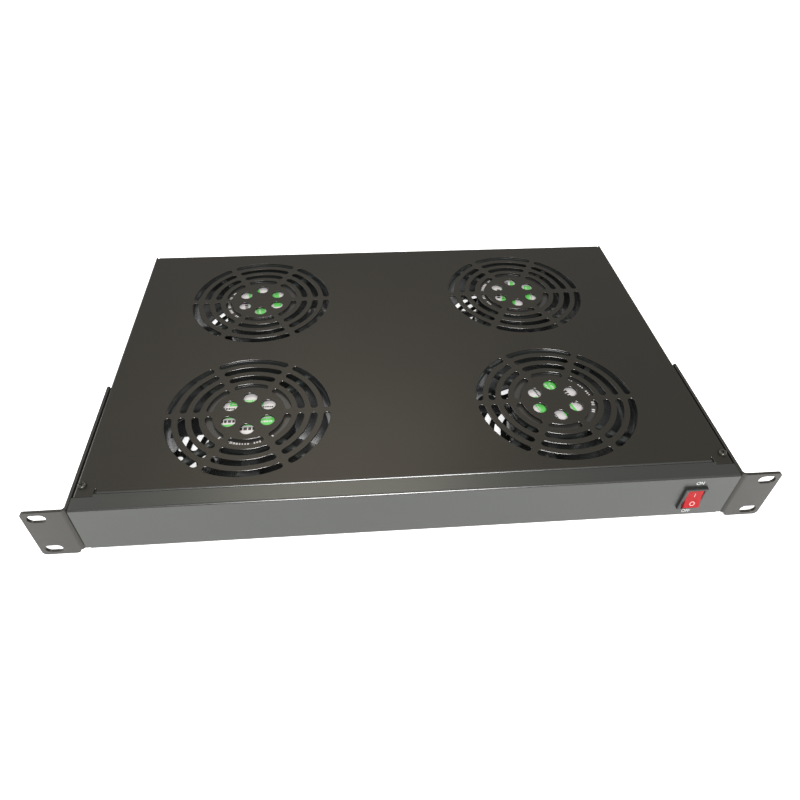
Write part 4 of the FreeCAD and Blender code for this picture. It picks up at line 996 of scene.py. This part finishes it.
screw_black = smooth_paint("screw_black", (0.065, 0.065, 0.055), 0.24, metallic=0.6, wave=2 * MM)
screw_zinc = smooth_paint("screw_zinc", (0.55, 0.56, 0.58), 0.3, metallic=1.0, wave=2 * MM)
HEAD_RADIUS, HEAD_TALL, SHANK = 2.8 * MM, 1.9 * MM, 1.5 * MM
TIP_ROUND, RIM_ROUND, CROWN_ROUND = 0.4 * MM, 0.2 * MM, 1.2 * MM
RECESS_REACH, RECESS_LOW, RECESS_HIGH = 1.45 * MM, 0.35 * MM, 2.1 * MM
RECESS_NARROW, RECESS_WIDE = 0.24 * MM, 0.42 * MM
SHORT_SCREW, LONG_SCREW = 5 * MM, 7.6 * MM
SCREW_STEPS, ROUND_OVER_STEPS = 32, 8
FIRST_SPIN, NEXT_SPIN = 17, 53


def pan_head_mesh(length):
    """A pan head screw that stands on its seat at nought, with a cross recess in the head."""
    shank = [(0, -length), (SHANK, -length), (SHANK, 0)]
    head = [(HEAD_RADIUS, 0), (HEAD_RADIUS, HEAD_TALL), (0, HEAD_TALL)]
    radii = [0, TIP_ROUND, 0, RIM_ROUND, CROWN_ROUND, 0]
    body = turned(rounded(shank + head, radii, ROUND_OVER_STEPS), SCREW_STEPS)
    blank = bpy.data.objects.new("screw_blank", finished("screw_blank", [body], []))
    section = [
        (-RECESS_NARROW, RECESS_LOW),
        (RECESS_NARROW, RECESS_LOW),
        (RECESS_WIDE, RECESS_HIGH),
        (-RECESS_WIDE, RECESS_HIGH),
    ]
    arms = []
    for turn in (0, math.pi / 2):
        arm = bar(section, -RECESS_REACH, RECESS_REACH)
        bmesh.ops.transform(arm, matrix=Matrix.Rotation(turn, 4, "Z"), verts=arm.verts)
        arms.append(arm)
    punches = [bpy.data.objects.new("punch", finished("punch", [arm], [])) for arm in arms]
    for item in [blank] + punches:
        bpy.context.scene.collection.objects.link(item)
    for punch in punches:
        recess = blank.modifiers.new("recess", "BOOLEAN")
        recess.operation, recess.object = "DIFFERENCE", punch
    seen = blank.evaluated_get(bpy.context.evaluated_depsgraph_get())
    mesh = bpy.data.meshes.new_from_object(seen)
    for item in [blank] + punches:
        bpy.data.objects.remove(item)
    return mesh


def screw_group(node, material, mesh, places):
    """Like screws that share one node: each at its place, its head along the direction given."""
    whole = bmesh.new()
    for number, (place, along) in enumerate(places):
        copy = mesh.copy()
        turn = Vector(along).to_track_quat("Z", "Y").to_matrix().to_4x4()
        spin = Matrix.Rotation(math.radians(FIRST_SPIN + NEXT_SPIN * number), 4, "Z")
        copy.transform(Matrix.Translation(place) @ turn @ spin)
        whole.from_mesh(copy)
        bpy.data.meshes.remove(copy)
    piece = placed(f"{node}_heads", finished(node, [whole], [material]), (0, 0, 0), "chassis")
    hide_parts(node)


short_screw, long_screw = pan_head_mesh(SHORT_SCREW), pan_head_mesh(LONG_SCREW)
UP, BACKWARDS = (0, 0, 1), (0, 1, 0)
cover_places = [((side * COVER_SCREW[0], COVER_SCREW[1], top), UP) for side in (-1, 1)]
cover_places += [
    ((side * REAR_SCREW[0], cover_back, REAR_SCREW[1]), BACKWARDS) for side in (-1, 1)
]
inlet_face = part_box("power_inlet")[1].y
inlet_places = [((side * INLET_SCREW_X, inlet_face, INLET_Z), BACKWARDS) for side in (-1, 1)]
ear_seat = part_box("ear_screws")[1].x - HEAD_TALL
ear_places = [
    ((side * ear_seat, y, EAR_SCREW_Z), (side, 0, 0)) for side in (-1, 1) for y in EAR_SCREW_Y
]
screw_group("cover_screws", screw_black, short_screw, cover_places)
screw_group("ear_screws", screw_black, long_screw, ear_places)
screw_group("inlet_screws", screw_zinc, long_screw, inlet_places)
softened("fan_screws", "chassis", screw_zinc, width=0.25 * MM)
for node in ("ear_nuts", "inlet_nuts"):
    coat_node(node, screw_zinc)

# --- Floor, light and camera ----------------------------------------------------------------
# A plain white floor that keeps the shadow, a soft lamp in front, a weak warm one high behind
# and another on the left, and a pale room. Camera and reflections see the floor lit.

FLOOR_SIZE = 6.0
FLOOR_DROP = 0.1 * MM
FLOOR_SEEN, FLOOR_MIRRORED = 0.75, 0.75
WALLS, CEILING, CEILING_FROM = 0.12, 0.5, 0.6
floor_mesh = bpy.data.meshes.new("floor")
half = FLOOR_SIZE / 2
corners = [(-half, -half, 0), (half, -half, 0), (half, half, 0), (-half, half, 0)]
floor_mesh.from_pydata(corners, [], [(0, 1, 2, 3)])
floor = bpy.data.objects.new("floor", floor_mesh)
bpy.context.scene.collection.objects.link(floor)
floor.location.z = cad_box[0].z - FLOOR_DROP
floor_white = bpy.data.materials.new("floor_white")
floor_white.use_nodes = True
nodes, links = floor_white.node_tree.nodes, floor_white.node_tree.links
matte = nodes["Principled BSDF"]
matte.inputs["Base Color"].default_value = (0.85, 0.85, 0.85, 1)
matte.inputs["Roughness"].default_value = 0.9
matte.inputs["Emission Color"].default_value = (1, 1, 1, 1)
rays = nodes.new("ShaderNodeLightPath")
seen = nodes.new("ShaderNodeMath")
seen.operation = "MULTIPLY"
seen.inputs[1].default_value = FLOOR_SEEN
links.new(rays.outputs["Is Camera Ray"], seen.inputs[0])
mirrored = nodes.new("ShaderNodeMath")
mirrored.operation = "MULTIPLY_ADD"
mirrored.inputs[1].default_value = FLOOR_MIRRORED
links.new(rays.outputs["Is Glossy Ray"], mirrored.inputs[0])
links.new(seen.outputs["Value"], mirrored.inputs[2])
links.new(mirrored.outputs["Value"], matte.inputs["Emission Strength"])
floor_mesh.materials.append(floor_white)

world = bpy.data.worlds.new("room")
bpy.context.scene.world = world
world.use_nodes = True
nodes, links = world.node_tree.nodes, world.node_tree.links
background = nodes["Background"]
background.inputs["Color"].default_value = (1, 1, 1, 1)
place = nodes.new("ShaderNodeTexCoord")
split = nodes.new("ShaderNodeSeparateXYZ")
links.new(place.outputs["Generated"], split.inputs["Vector"])
# The object is lit by dim walls and a paler ceiling; the camera sees plain white.
walls_to_ceiling = nodes.new("ShaderNodeMapRange")
walls_to_ceiling.inputs["From Max"].default_value = CEILING_FROM
walls_to_ceiling.inputs["To Min"].default_value = WALLS
walls_to_ceiling.inputs["To Max"].default_value = CEILING
links.new(split.outputs["Z"], walls_to_ceiling.inputs["Value"])
rays = nodes.new("ShaderNodeLightPath")
seen = nodes.new("ShaderNodeMapRange")
links.new(walls_to_ceiling.outputs["Result"], seen.inputs["To Min"])
seen.inputs["To Max"].default_value = 1.0
links.new(rays.outputs["Is Camera Ray"], seen.inputs["Value"])
links.new(seen.outputs["Result"], background.inputs["Strength"])


def lamp(name, place, aim, size, power, colour=(1, 1, 1)):
    """A soft rectangular lamp turned towards its aim."""
    data = bpy.data.lights.new(name, "AREA")
    data.shape, data.size, data.size_y = "RECTANGLE", size[0], size[1]
    data.energy, data.color = power, colour
    item = bpy.data.objects.new(name, data)
    bpy.context.scene.collection.objects.link(item)
    item.location = place
    item.rotation_euler = (Vector(aim) - Vector(place)).to_track_quat("-Z", "Y").to_euler()


lamp("front_lamp", (0.05, -1.1, 1.2), (0, 0.1, 0), (0.7, 0.7), 40)
lamp("high_lamp", (-0.06, 0.75, 1.1), (-0.06, 0.1, 0), (0.65, 0.5), 3.8, (1, 0.92, 0.80))
lamp("side_lamp", (-1.5, 0.9, 0.9), (0, 0.14, 0), (0.8, 0.8), 5)

CAMERA_PLACE = Vector((-41.60, -245.06, 340.06)) * MM
YAW, PITCH, ROLL = math.radians(-5.438), math.radians(43.39), math.radians(1.31)
camera_data = bpy.data.cameras.new("camera")
camera_data.sensor_width = 36
camera_data.lens = 28.52
camera_data.shift_x, camera_data.shift_y = 0.01296, -0.00865
camera = bpy.data.objects.new("camera", camera_data)
bpy.context.scene.collection.objects.link(camera)
camera.matrix_world = (
    Matrix.Translation(CAMERA_PLACE)
    @ Matrix.Rotation(YAW, 4, "Z")
    @ Matrix.Rotation(math.pi / 2 - PITCH, 4, "X")
    @ Matrix.Rotation(ROLL, 4, "Z")
)
bpy.context.scene.camera = camera

bpy.context.scene.view_settings.view_transform = "Standard"
